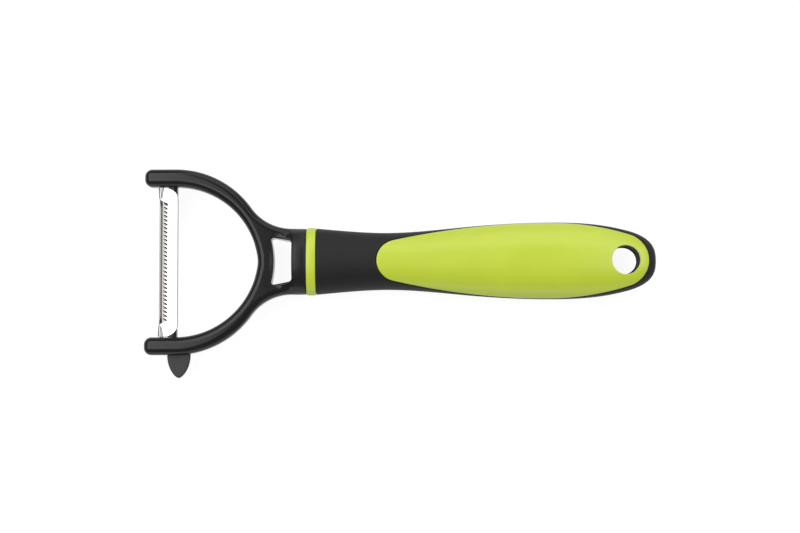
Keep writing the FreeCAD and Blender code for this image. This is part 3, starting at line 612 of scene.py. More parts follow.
class Effects:
    """The shader effects that several finishes share, each built once as a node group."""

    def __init__(self) -> None:
        """Build the groups."""
        self.moulding = self._moulding()
        self.grinding = self._grinding()
        self.band = self._band()

    @staticmethod
    def _moulding() -> bpy.types.NodeTree:
        """Build the grain, cloudy tone and handling marks of a moulded surface.

        Returns:
            The node group.
        """
        nodes, given, result = new_group(
            "ShaderNodeTree", "moulded_surface",
            [("Colour", "NodeSocketColor"), ("Tone Shift", "NodeSocketFloat"),
             ("Roughness", "NodeSocketFloat"), ("Roughness Shift", "NodeSocketFloat"),
             ("Grain Scale", "NodeSocketFloat"), ("Mark Scale", "NodeSocketFloat")],
            [("Colour", "NodeSocketColor"), ("Roughness", "NodeSocketFloat"), ("Height", "NodeSocketFloat")],
        )
        place = nodes.add("ShaderNodeTexCoord").outputs["Object"]
        grain = nodes.add("ShaderNodeTexNoise", {
            "Vector": place, "Scale": given.outputs["Grain Scale"], "Detail": 3.0, "Roughness": 0.55})
        marks = nodes.add("ShaderNodeTexNoise", {
            "Vector": place, "Scale": given.outputs["Mark Scale"], "Detail": 4.0, "Distortion": 0.6})
        spread = nodes.add("ShaderNodeMapRange", {
            "Value": marks.outputs["Fac"], "From Min": 0.3, "From Max": 0.7, "To Min": -1.0, "To Max": 1.0})
        both = nodes.add("ShaderNodeMath", {
            0: spread.outputs["Result"], 1: 0.6}, operation="MULTIPLY")
        speckle = nodes.add("ShaderNodeMapRange", {
            "Value": grain.outputs["Fac"], "From Min": 0.25, "From Max": 0.75,
            "To Min": -0.5, "To Max": 0.5})
        mixed = nodes.add("ShaderNodeMath", {
            0: both.outputs[0], 1: speckle.outputs["Result"]}, operation="ADD")
        tone = nodes.add("ShaderNodeMath", {
            0: mixed.outputs[0], 1: given.outputs["Tone Shift"], 2: 1.0}, operation="MULTIPLY_ADD")
        colour = nodes.add("ShaderNodeVectorMath", {
            0: given.outputs["Colour"], "Scale": tone.outputs[0]}, operation="SCALE")
        rough = nodes.add("ShaderNodeMath", {
            0: mixed.outputs[0], 1: given.outputs["Roughness Shift"], 2: given.outputs["Roughness"]},
            operation="MULTIPLY_ADD")
        nodes.feed(result, {
            "Colour": colour.outputs[0], "Roughness": rough.outputs[0], "Height": grain.outputs["Fac"]})
        return nodes.tree

    @staticmethod
    def _grinding() -> bpy.types.NodeTree:
        """Build the fine lines of ground or drawn steel, which run along one axis.

        Returns:
            The node group.
        """
        nodes, given, result = new_group(
            "ShaderNodeTree", "ground_lines",
            [("Line Scale", "NodeSocketVector"), ("Roughness", "NodeSocketFloat"),
             ("Roughness Shift", "NodeSocketFloat"), ("Colour", "NodeSocketColor"),
             ("Tone Shift", "NodeSocketFloat")],
            [("Colour", "NodeSocketColor"), ("Roughness", "NodeSocketFloat"), ("Height", "NodeSocketFloat")],
        )
        place = nodes.add("ShaderNodeTexCoord").outputs["Object"]
        drawn = nodes.add("ShaderNodeVectorMath", {
            0: place, 1: given.outputs["Line Scale"]}, operation="MULTIPLY")
        lines = nodes.add("ShaderNodeTexNoise", {
            "Vector": drawn.outputs[0], "Scale": 1.0, "Detail": 4.0, "Roughness": 0.65})
        spread = nodes.add("ShaderNodeMapRange", {
            "Value": lines.outputs["Fac"], "From Min": 0.3, "From Max": 0.7, "To Min": -1.0, "To Max": 1.0})
        rough = nodes.add("ShaderNodeMath", {
            0: spread.outputs["Result"], 1: given.outputs["Roughness Shift"], 2: given.outputs["Roughness"]},
            operation="MULTIPLY_ADD")
        tone = nodes.add("ShaderNodeMath", {
            0: spread.outputs["Result"], 1: given.outputs["Tone Shift"], 2: 1.0}, operation="MULTIPLY_ADD")
        colour = nodes.add("ShaderNodeVectorMath", {
            0: given.outputs["Colour"], "Scale": tone.outputs[0]}, operation="SCALE")
        nodes.feed(result, {
            "Colour": colour.outputs[0], "Roughness": rough.outputs[0], "Height": lines.outputs["Fac"]})
        return nodes.tree

    @staticmethod
    def _band() -> bpy.types.NodeTree:
        """Build a mask that is 1 up to a place along X and falls to 0 just past it.

        Returns:
            The node group.
        """
        nodes, given, result = new_group(
            "ShaderNodeTree", "band_along_x",
            [("End", "NodeSocketFloat"), ("Softness", "NodeSocketFloat")], [("Mask", "NodeSocketFloat")],
        )
        place = nodes.add("ShaderNodeTexCoord").outputs["Object"]
        along = nodes.add("ShaderNodeSeparateXYZ", {"Vector": place}).outputs["X"]
        past = nodes.add("ShaderNodeMath", {
            0: given.outputs["End"], 1: given.outputs["Softness"]}, operation="ADD")
        mask = nodes.add("ShaderNodeMapRange", {
            "Value": along, "From Min": given.outputs["End"], "From Max": past.outputs[0],
            "To Min": 1.0, "To Max": 0.0})
        nodes.feed(result, {"Mask": mask.outputs["Result"]})
        return nodes.tree

    def mask_below(self, nodes: Nodes, place: float) -> bpy.types.NodeSocket:
        """Put the band's mask in a material.

        Args:
            nodes: the material's nodes.
            place: where along X the band ends, in millimetres.

        Returns:
            The mask's output.
        """
        band = nodes.add(
            "ShaderNodeGroup", {"End": place * MM, "Softness": BAND_SOFTNESS * MM}, node_tree=self.band)
        return band.outputs["Mask"]


def new_material(name: str) -> tuple[bpy.types.Material, Nodes, bpy.types.Node]:
    """Start a material.

    Args:
        name: the material's name.

    Returns:
        The material, its nodes and its shader.
    """
    material = bpy.data.materials.new(name)
    material.use_nodes = True
    nodes = Nodes(material.node_tree)
    shader = material.node_tree.nodes["Principled BSDF"]
    return material, nodes, shader


@dataclass(frozen=True)
class MouldedFinish:
    """A moulded plastic or rubber. Colours are linear; sizes of grain and marks are millimetres.

    Up to satin_below along X, where that is given, the surface has the satin roughness.
    """

    name: str
    colour: Colour
    roughness: float
    grain: float
    grain_depth: float
    tone_shift: float = 0.06
    roughness_shift: float = 0.05
    marks: float = 14.0
    gloss: float = 0.5
    satin_below: float | None = None
    satin_roughness: float = 0.5

    def material(self, effects: Effects) -> bpy.types.Material:
        """Return the finish as a material.

        Args:
            effects: the shared shader effects.

        Returns:
            The new material.
        """
        material, nodes, shader = new_material(self.name)
        surface = nodes.add("ShaderNodeGroup", {
            "Colour": (*self.colour, 1.0), "Tone Shift": self.tone_shift,
            "Roughness": self.roughness, "Roughness Shift": self.roughness_shift,
            "Grain Scale": 1 / (self.grain * MM), "Mark Scale": 1 / (self.marks * MM)},
            node_tree=effects.moulding)
        rough = surface.outputs["Roughness"]
        if self.satin_below is not None:
            mask = effects.mask_below(nodes, self.satin_below)
            rough = nodes.add("ShaderNodeMath", {
                0: mask, 1: self.satin_roughness - self.roughness, 2: rough},
                operation="MULTIPLY_ADD").outputs[0]
        bump = nodes.add("ShaderNodeBump", {
            "Height": surface.outputs["Height"], "Strength": 1.0, "Distance": self.grain_depth * MM})
        nodes.feed(shader, {
            "Base Color": surface.outputs["Colour"], "Roughness": rough,
            "Normal": bump.outputs["Normal"], "Specular IOR Level": self.gloss})
        return material


@dataclass(frozen=True)
class SteelFinish:
    """A steel surface with fine lines, as many for each millimetre along X, Y and Z as lines says.

    Up to a given place along X, where one is given, it has a darker tan colour: painted shade that stands in
    for the thin dark line along the sheet's rear edge.
    """

    name: str
    colour: Colour
    roughness: float
    lines: tuple[float, float, float]
    line_depth: float
    roughness_shift: float = 0.04
    tone_shift: float = 0.04
    edge_shade_below: float | None = None
    edge_shade_colour: Colour = (0.40, 0.36, 0.32)

    def material(self, effects: Effects) -> bpy.types.Material:
        """Return the finish as a material.

        Args:
            effects: the shared shader effects.

        Returns:
            The new material.
        """
        material, nodes, shader = new_material(self.name)
        surface = nodes.add("ShaderNodeGroup", {
            "Line Scale": tuple(line / MM for line in self.lines), "Roughness": self.roughness,
            "Roughness Shift": self.roughness_shift, "Colour": (*self.colour, 1.0),
            "Tone Shift": self.tone_shift}, node_tree=effects.grinding)
        colour = surface.outputs["Colour"]
        # painted shade: up to the given place along X the colour is mixed to a darker tan, for the dark line
        # along the rear edge
        if self.edge_shade_below is not None:
            mask = effects.mask_below(nodes, self.edge_shade_below)
            colour = nodes.add("ShaderNodeMix", {
                0: mask, 6: colour, 7: (*self.edge_shade_colour, 1.0)}, data_type="RGBA").outputs[2]
        bump = nodes.add("ShaderNodeBump", {
            "Height": surface.outputs["Height"], "Strength": 1.0, "Distance": self.line_depth * MM})
        nodes.feed(shader, {
            "Base Color": colour, "Roughness": surface.outputs["Roughness"],
            "Normal": bump.outputs["Normal"], "Metallic": 1.0})
        return material


class Finishes:
    """All finishes of the peeler, as materials."""

    def __init__(self) -> None:
        """Make each material once."""
        effects = Effects()
        lime = MouldedFinish(
            "lime_inlay_plastic", (0.575, 0.70, 0.034), 0.33, grain=0.22, grain_depth=0.004,
            tone_shift=0.035, gloss=0.8)
        self.inlay = lime.material(effects)
        self.ring = replace(lime, name="lime_ring_plastic").material(effects)
        self.grip = MouldedFinish(
            "soft_black_grip", (0.009, 0.009, 0.0098), 0.56, grain=0.16, grain_depth=0.02,
            tone_shift=0.16, roughness_shift=0.06, gloss=0.33,
        ).material(effects)
        self.yoke = MouldedFinish(
            "gloss_black_plastic", (0.009, 0.009, 0.0096), 0.17, grain=0.5, grain_depth=0.0012,
            tone_shift=0.12, roughness_shift=0.04, marks=9.0, gloss=0.34,
            satin_below=120.0, satin_roughness=0.36,
        ).material(effects)
        self.remover = MouldedFinish(
            "dark_grey_plastic", (0.046, 0.046, 0.049), 0.5, grain=0.2, grain_depth=0.008,
            tone_shift=0.1, gloss=0.3,
        ).material(effects)
        self.core = MouldedFinish(
            "core_plastic", (0.010, 0.010, 0.0105), 0.7, grain=0.4, grain_depth=0.01, gloss=0.12,
        ).material(effects)
        self.blade = SteelFinish(
            "blade_steel", (0.80, 0.79, 0.77), 0.14, lines=(3.0, 0.12, 3.0), line_depth=0.0004,
            # painted shade: the sheet's rear edge strip, up to 162.5 mm along X, takes the darker tan colour
            edge_shade_below=162.5,
        ).material(effects)
        # painted shade: the cutting bevel's steel is far darker than the blade's, standing in for the shaded
        # dark line along the slot
        self.ground = SteelFinish(
            "ground_bevel_painted_shade_steel", (0.125, 0.117, 0.108), 0.3, lines=(0.4, 6.0, 0.4), line_depth=0.004,
            roughness_shift=0.08, tone_shift=0.12,
        ).material(effects)
        # painted shade: the scallop bevels' steel is darkened so that the arcs at the teeth roots render
        # dark
        self.serration = SteelFinish(
            "serration_painted_shade_steel", (0.18, 0.172, 0.162), 0.4, lines=(2.0, 2.0, 0.4), line_depth=0.004,
            roughness_shift=0.08, tone_shift=0.15,
        ).material(effects)
        # painted shade: a mid-grey steel for the strip under the teeth, standing in for the shaded floor
        # seen through the gaps
        self.painted_shade_strip = SteelFinish(
            "serration_painted_shade_strip_steel", (0.33, 0.315, 0.295), 0.35, lines=(0.5, 5.0, 0.5), line_depth=0.003,
            roughness_shift=0.08, tone_shift=0.15,
        ).material(effects)
        self.rolled = SteelFinish(
            "rolled_steel", (0.42, 0.41, 0.405), 0.28, lines=(3.0, 0.3, 3.0), line_depth=0.002,
        ).material(effects)
        self.pin = SteelFinish(
            "pin_steel", (0.60, 0.60, 0.60), 0.25, lines=(0.3, 4.0, 0.3), line_depth=0.003,
        ).material(effects)


@dataclass(frozen=True)
class GripForm:
    """The handle's rounded form: oval sections along X and a tail that rounds off."""

    places: tuple[float, ...] = (1.4, 27.0, 57.0, 87.0, 99.45, 111.9)
    half_widths: tuple[float, ...] = (11.65, 14.0, 12.5, 10.4, 11.0, 12.1)
    half_thicknesses: tuple[float, ...] = (6.8, 9.2, 8.4, 7.3, 7.25, 7.4)
    tip_half_width: float = 8.6
    tip_half_thickness: float = 5.0
    nose_reach: float = 11.5
    nose_power: float = 3.0

    def _size(self, x: np.ndarray, sizes: tuple[float, ...], tip: float) -> np.ndarray:
        """Work out a half size along X, with the tail's rounding.

        Args:
            x: places along X.
            sizes: the half sizes at the form's own places.
            tip: the half size that the tail tapers towards.

        Returns:
            One half size for each place.
        """
        nose = self.places[0] + self.nose_reach
        body = SmoothLine(self.places, sizes, (sizes[0] - tip) / nose).at(x)
        along = np.clip((self.places[0] - np.asarray(x, float)) / nose, 0, 1)
        taper = (1 - along ** self.nose_power) ** (1 / self.nose_power)
        return taper * (body + along * (tip - sizes[0]))

    def half_width(self, x: np.ndarray) -> np.ndarray:
        """Return the half width at each place along X."""
        return self._size(x, self.half_widths, self.tip_half_width)

    def half_thickness(self, x: np.ndarray) -> np.ndarray:
        """Return the half thickness at each place along X."""
        return self._size(x, self.half_thicknesses, self.tip_half_thickness)

    def point(self, x: np.ndarray, angle: np.ndarray) -> np.ndarray:
        """Return points of the surface at places along X and angles from +Y towards +Z."""
        x, angle = np.broadcast_arrays(np.asarray(x, float), np.asarray(angle, float))
        return np.column_stack([
            x, self.half_width(x) * np.cos(angle), self.half_thickness(x) * np.sin(angle)])

    def angle(self, points: np.ndarray) -> np.ndarray:
        """Return the angles round the section at which points lie."""
        x, y, z = points.T
        return np.arctan2(z / self.half_thickness(x), y / self.half_width(x))

    def project(self, points: np.ndarray) -> np.ndarray:
        """Return points moved within their sections on to the surface."""
        return self.point(points[:, 0], self.angle(points))

    def over(self, flat: np.ndarray, side: int = 1) -> np.ndarray:
        """Find the points of the surface over points in the plan.

        Args:
            flat: rows of X and Y.
            side: 1 for the upper surface, -1 for the lower.

        Returns:
            Rows of X, Y and Z.
        """
        x, y = flat.T
        ratio = np.clip(y / self.half_width(x), -1, 1)
        return np.column_stack([x, y, side * self.half_thickness(x) * np.sqrt(1 - ratio ** 2)])

    def normal(self, points: np.ndarray) -> np.ndarray:
        """Work out the surface's unit normals.

        Args:
            points: points on the surface.

        Returns:
            One normal for each point.
        """
        x, y, z = points.T
        step = 0.01
        width, thickness = self.half_width(x), self.half_thickness(x)
        wider = (self.half_width(x + step) - self.half_width(x - step)) / (2 * step)
        thicker = (self.half_thickness(x + step) - self.half_thickness(x - step)) / (2 * step)
        slopes = np.column_stack([
            -(y ** 2) * wider / width ** 3 - z ** 2 * thicker / thickness ** 3,
            y / width ** 2, z / thickness ** 2])
        return slopes / np.linalg.norm(slopes, axis=1)[:, None]


@dataclass
class Handle:
    """The grip: soft sleeve, lime inlay let into its upper face, hard core and collar ring."""

    form: GripForm = GripForm()
    hole_radius: float = 5.25
    hole_rim: float = 0.25
    sleeve_wall: float = 1.8
    sleeve_front: float = 111.82
    sleeve_edge: RoundedEdge = RoundedEdge(0.35, 5)
    sleeve_hole_steps: int = 4
    round_count: int = 96
    neck_sections: int = 24
    tail_sections: int = 14
    patch_reach: tuple[float, float] = (-7.4, 8.6)
    patch_half_count: int = 18
    patch_rings: tuple[float, ...] = (0.3, 0.6, 0.85, 1.0)
    inlay_widest: float = 27.0
    inlay_half_width: float = 13.85
    inlay_front: float = 90.1
    inlay_front_radius: float = 7.7
    inlay_rear: float = -8.7
    inlay_rear_radius: float = 9.9
    inlay_thickness: float = 1.2
    inlay_proud: float = 0.02
    inlay_edge: RoundedEdge = RoundedEdge(0.38, 5)
    inlay_hole_steps: int = 5
    inlay_hole_count: int = 72
    inlay_spacing: float = 1.15
    pattern_width: float = 12.0
    seam_gap: float = 0.08
    seam_end_step: float = 0.35
    seam_side_step: float = 1.0
    ring_rear: float = 112.0
    ring_front: float = 115.4
    ring_proud: float = 0.2
    ring_edge: RoundedEdge = RoundedEdge(0.4, 4)
    ring_depth: float = 1.4
    ring_crown: float = 0.05
    ring_count: int = 180

    def seam(self) -> np.ndarray:
        """Draw the inlay's outline in the plan, anticlockwise from its front end.

        Returns:
            Rows of X and Y.
        """
        front, rear = self.inlay_front - self.inlay_front_radius, self.inlay_rear + self.inlay_rear_radius
        middle, half = self.inlay_widest, self.inlay_half_width
        spokes = {}
        for nose, radius in ((front, self.inlay_front_radius), (rear, self.inlay_rear_radius)):
            run = nose - middle
            flank = (run ** 2 + half ** 2 - radius ** 2) / (2 * (half - radius))
            spokes[nose] = (flank, math.atan2(flank - half, run))
        (front_flank, front_angle), (rear_flank, rear_angle) = spokes[front], spokes[rear]
        end_step, side_step = self.seam_end_step, self.seam_side_step
        upper = np.vstack([
            arc_points((front, 0), self.inlay_front_radius, 0, front_angle, end_step),
            arc_points((middle, half - front_flank), front_flank, front_angle, QUARTER, side_step),
            arc_points((middle, half - rear_flank), rear_flank, QUARTER, rear_angle, side_step),
            arc_points((rear, 0), self.inlay_rear_radius, rear_angle, math.pi, end_step),
        ])
        return np.vstack([upper, [(self.inlay_rear, 0)], upper[:0:-1] * (1, -1)])

    def beside_seam(self, away: float, depth: float) -> np.ndarray:
        """Return points along the seam, moved over the surface and down into it.

        Args:
            away: the distance from the seam, outwards from the inlay.
            depth: the depth below the surface.

        Returns:
            One point for each point of the seam.
        """
        seam = self.seam()
        points = self.form.over(seam)
        normals = self.form.normal(points)
        outwards = np.column_stack([-inward_normals(seam, True), np.zeros(len(seam))])
        outwards -= np.sum(outwards * normals, axis=1)[:, None] * normals
        outwards /= np.linalg.norm(outwards, axis=1)[:, None]
        moved = self.form.project(points + away * outwards)
        return moved - depth * self.form.normal(moved)

    def hole_ring(self, towards: np.ndarray, radius: float) -> np.ndarray:
        """Return a ring round the hanging hole, in the directions of given points in the plan."""
        return radius * circle_points(np.arctan2(towards[:, 1], towards[:, 0]))

    def _round_hole(
        self, draft: MeshDraft, loop: list[int], depth: float
    ) -> tuple[list[int], np.ndarray]:
        """Lead the edge of a gap in the sleeve's lower face to the round hole.

        Args:
            draft: the draft that it goes into.
            loop: numbers of the points round the gap.
            depth: the depth of the face below the outer surface.

        Returns:
            The ring round the hole, and that ring's places in the plan.
        """
        flat = np.array([draft.points[number][:2] for number in loop])
        target = self.hole_ring(flat, self.hole_radius + self.hole_rim)
        for share in self.patch_rings:
            points = self.form.over(flat * (1 - share) + target * share, -1)
            ring = draft.add(points - depth * self.form.normal(points))
            draft.bridge(loop, ring)
            loop = ring
        return loop, target

    def _sleeve_face(
        self, draft: MeshDraft, rim: list[int], depth: float
    ) -> tuple[list[int], list[int], np.ndarray]:
        """Add one face of the sleeve, outer or inner.

        Args:
            draft: the draft that it goes into.
            rim: numbers of the points beside the seam.
            depth: the depth of the face below the outer surface.

        Returns:
            The ring at the front, the ring round the hole, and that ring's places in the plan.
        """
        form, count = self.form, self.round_count
        beside = self.beside_seam(self.seam_gap + self.sleeve_edge.radius, 0.0)
        half = len(rim) // 2

        def section(x: float, start: float) -> np.ndarray:
            """Return the points under one section, without its ends."""
            points = form.point(x, np.linspace(start, -math.pi - start, count + 1))
            return points - depth * form.normal(points)

        columns, places = [], []
        front = self.sleeve_front - self.sleeve_edge.radius
        for x in np.linspace(front, beside[0, 0], self.neck_sections, endpoint=False):
            ring = draft.add(section(x, QUARTER)[:-1])
            columns.append([*ring, ring[0]])
            places.append(x)
        angles = form.angle(beside)
        for i in range(half + 1):
            middle = draft.add(section(beside[i, 0], angles[i])[1:-1])
            columns.append([rim[i], *middle, rim[-i % len(rim)]])
            places.append(beside[i, 0])
        power, tail = form.nose_power, form.places[0]
        nose = tail + form.nose_reach
        start = math.asin(((tail - beside[half, 0]) / nose) ** (power / 2))
        for turn in np.linspace(start, QUARTER, self.tail_sections)[1:-1]:
            x = tail - nose * math.sin(turn) ** (2 / power)
            ring = draft.add(section(x, QUARTER)[:-1])
            columns.append([*ring, ring[0]])
            places.append(x)
        tip = draft.add(np.array([[depth - form.nose_reach, 0, 0]]))[0]
        draft.fan(columns[-1][:-1], tip)

        rear_end, front_end = self.patch_reach
        inside_patch = [i for i, x in enumerate(places) if rear_end < x < front_end]
        first, last = inside_patch[0], inside_patch[-1]
        low, high = count // 2 - self.patch_half_count, count // 2 + self.patch_half_count
        for i, (here, ahead) in enumerate(zip(columns, columns[1:])):
            for j in range(count):
                if not (first <= i < last and low <= j < high):
                    draft.faces.append((here[j], here[j + 1], ahead[j + 1], ahead[j]))
        loop = [columns[first][j] for j in range(low, high)]
        loop += [columns[i][high] for i in range(first, last)]
        loop += [columns[last][j] for j in range(high, low, -1)]
        loop += [columns[i][low] for i in range(last, first, -1)]
        return columns[0][:-1], *self._round_hole(draft, loop, depth)

    def sleeve(self, material: bpy.types.Material) -> bpy.types.Object:
        """Build the soft sleeve as a closed shell with a rolled edge along the inlay.

        Args:
            material: its finish.

        Returns:
            The new piece.
        """
        form, draft = self.form, MeshDraft()
        rings = [
            draft.add(self.beside_seam(self.seam_gap + inset, drop))
            for inset, drop in self.sleeve_edge.rings()
        ]
        floor = draft.add(self.beside_seam(self.seam_gap, self.inlay_thickness))
        draft.chain([floor, *rings])
        edge = self.seam_gap + self.sleeve_edge.radius
        inner_rim = draft.add(self.beside_seam(edge, self.sleeve_wall))
        draft.bridge(floor, inner_rim)
        front, hole, plan = self._sleeve_face(draft, rings[-1], 0.0)
        inner_front, inner_hole, _ = self._sleeve_face(draft, inner_rim, self.sleeve_wall)

        angles = np.linspace(QUARTER, QUARTER - FULL_TURN, self.round_count, endpoint=False)
        for inset, drop in self.sleeve_edge.rings()[-2::-1]:
            points = form.point(np.full(len(angles), self.sleeve_front - inset), angles)
            ring = draft.add(points - drop * form.normal(points))
            draft.bridge(front, ring)
            front = ring
        draft.bridge(front, inner_front)
        for inset, drop in RoundedEdge(self.hole_rim, self.sleeve_hole_steps).rings()[-2::-1]:
            points = form.over(self.hole_ring(plan, self.hole_radius + inset), -1)
            ring = draft.add(points + (0, 0, drop))
            draft.bridge(hole, ring)
            hole = ring
        draft.bridge(hole, inner_hole)
        return draft.build("grip_sleeve_soft", material)

    def inlay(self, material: bpy.types.Material) -> bpy.types.Object:
        """Build the lime inlay as a closed panel with rounded edges and a rounded hole.

        Args:
            material: its finish.

        Returns:
            The new piece.
        """
        form, draft = self.form, MeshDraft()
        rings = [
            draft.add(self.beside_seam(-self.seam_gap - inset, drop - self.inlay_proud))
            for inset, drop in self.inlay_edge.rings()
        ]
        foot = draft.add(self.beside_seam(-self.seam_gap, self.inlay_thickness))
        draft.chain([foot, *rings])
        edge_points = self.beside_seam(-self.seam_gap - self.inlay_edge.radius, 0.0)
        circle = circle_points(full_turn(self.inlay_hole_count))

        def at_hole(radius: float, depth: float) -> np.ndarray:
            """Return a ring of the surface round the hole, at a depth below it."""
            return form.over(circle * radius) - (0, 0, depth)

        hole_rings = [
            draft.add(at_hole(self.hole_radius + inset, drop - self.inlay_proud))
            for inset, drop in RoundedEdge(self.hole_rim, self.inlay_hole_steps).rings()
        ]
        hole_foot = draft.add(at_hole(self.hole_radius, self.inlay_thickness))
        draft.chain([hole_foot, *hole_rings])

        def unrolled(points: np.ndarray) -> np.ndarray:
            """Return points of the upper surface in a flat pattern of it."""
            across = np.arcsin(np.clip(points[:, 1] / form.half_width(points[:, 0]), -1, 1))
            return np.column_stack([points[:, 0], self.pattern_width * across])

        hole_points = at_hole(self.hole_radius + self.hole_rim, 0.0)
        inner, faces = triangulate([unrolled(edge_points), unrolled(hole_points)], self.inlay_spacing)
        surface = form.point(inner[:, 0], QUARTER - inner[:, 1] / self.pattern_width)
        normals = form.normal(surface)
        for depth, ends in ((-self.inlay_proud, (rings[-1], hole_rings[-1])),
                            (self.inlay_thickness, (foot, hole_foot))):
            known = [*ends[0], *ends[1], *draft.add(surface - depth * normals)]
            draft.faces += [tuple(known[number] for number in face) for face in faces]
        return draft.build("grip_inlay_panel", material)

    def ring(self, material: bpy.types.Material) -> bpy.types.Object:
        """Build the collar ring as a slightly crowned band with rounded edges.

        Args:
            material: its finish.

        Returns:
            The new piece.
        """
        level = self.ring_proud - self.ring_crown
        edge, corner = self.ring_edge.radius, self.ring_edge.rings()
        profile = [(self.ring_rear, -self.ring_depth)]
        profile += [(self.ring_rear + inset, level - drop) for inset, drop in corner]
        run = self.ring_front - self.ring_rear - 2 * edge
        for share in (0.25, 0.5, 0.75):
            crown = self.ring_crown * math.sin(math.pi * share)
            profile.append((self.ring_rear + edge + share * run, level + crown))
        profile += [(self.ring_front - inset, level - drop) for inset, drop in corner[::-1]]
        profile.append((self.ring_front, -self.ring_depth))
        half_sizes = (self.form.half_widths[-1], self.form.half_thicknesses[-1])
        around = circle_points(full_turn(self.ring_count))
        outwards = around / half_sizes
        outwards /= np.linalg.norm(outwards, axis=1)[:, None]
        draft = MeshDraft()
        draft.loft([
            draft.add(np.column_stack([np.full(len(around), x), around * half_sizes + out * outwards]))
            for x, out in profile
        ])
        return draft.build("collar_ring_band", material)

    def dress(self, finishes: Finishes) -> None:
        """Build all pieces of the handle and put them on its body.

        Args:
            finishes: the materials.
        """
        hand_over(self.sleeve(finishes.grip), Body.HANDLE, "soft_black_grip", "grip_sleeve")
        hand_over(self.inlay(finishes.inlay), Body.HANDLE, "lime_inlay_plastic", "grip_inlay")
        hand_over(self.ring(finishes.ring), Body.HANDLE, "lime_ring_plastic", "collar_ring")
        core = smooth_copy("handle_core", "handle_core_moulding", finishes.core)
        hand_over(core, Body.HANDLE, "core_plastic", "handle_core")


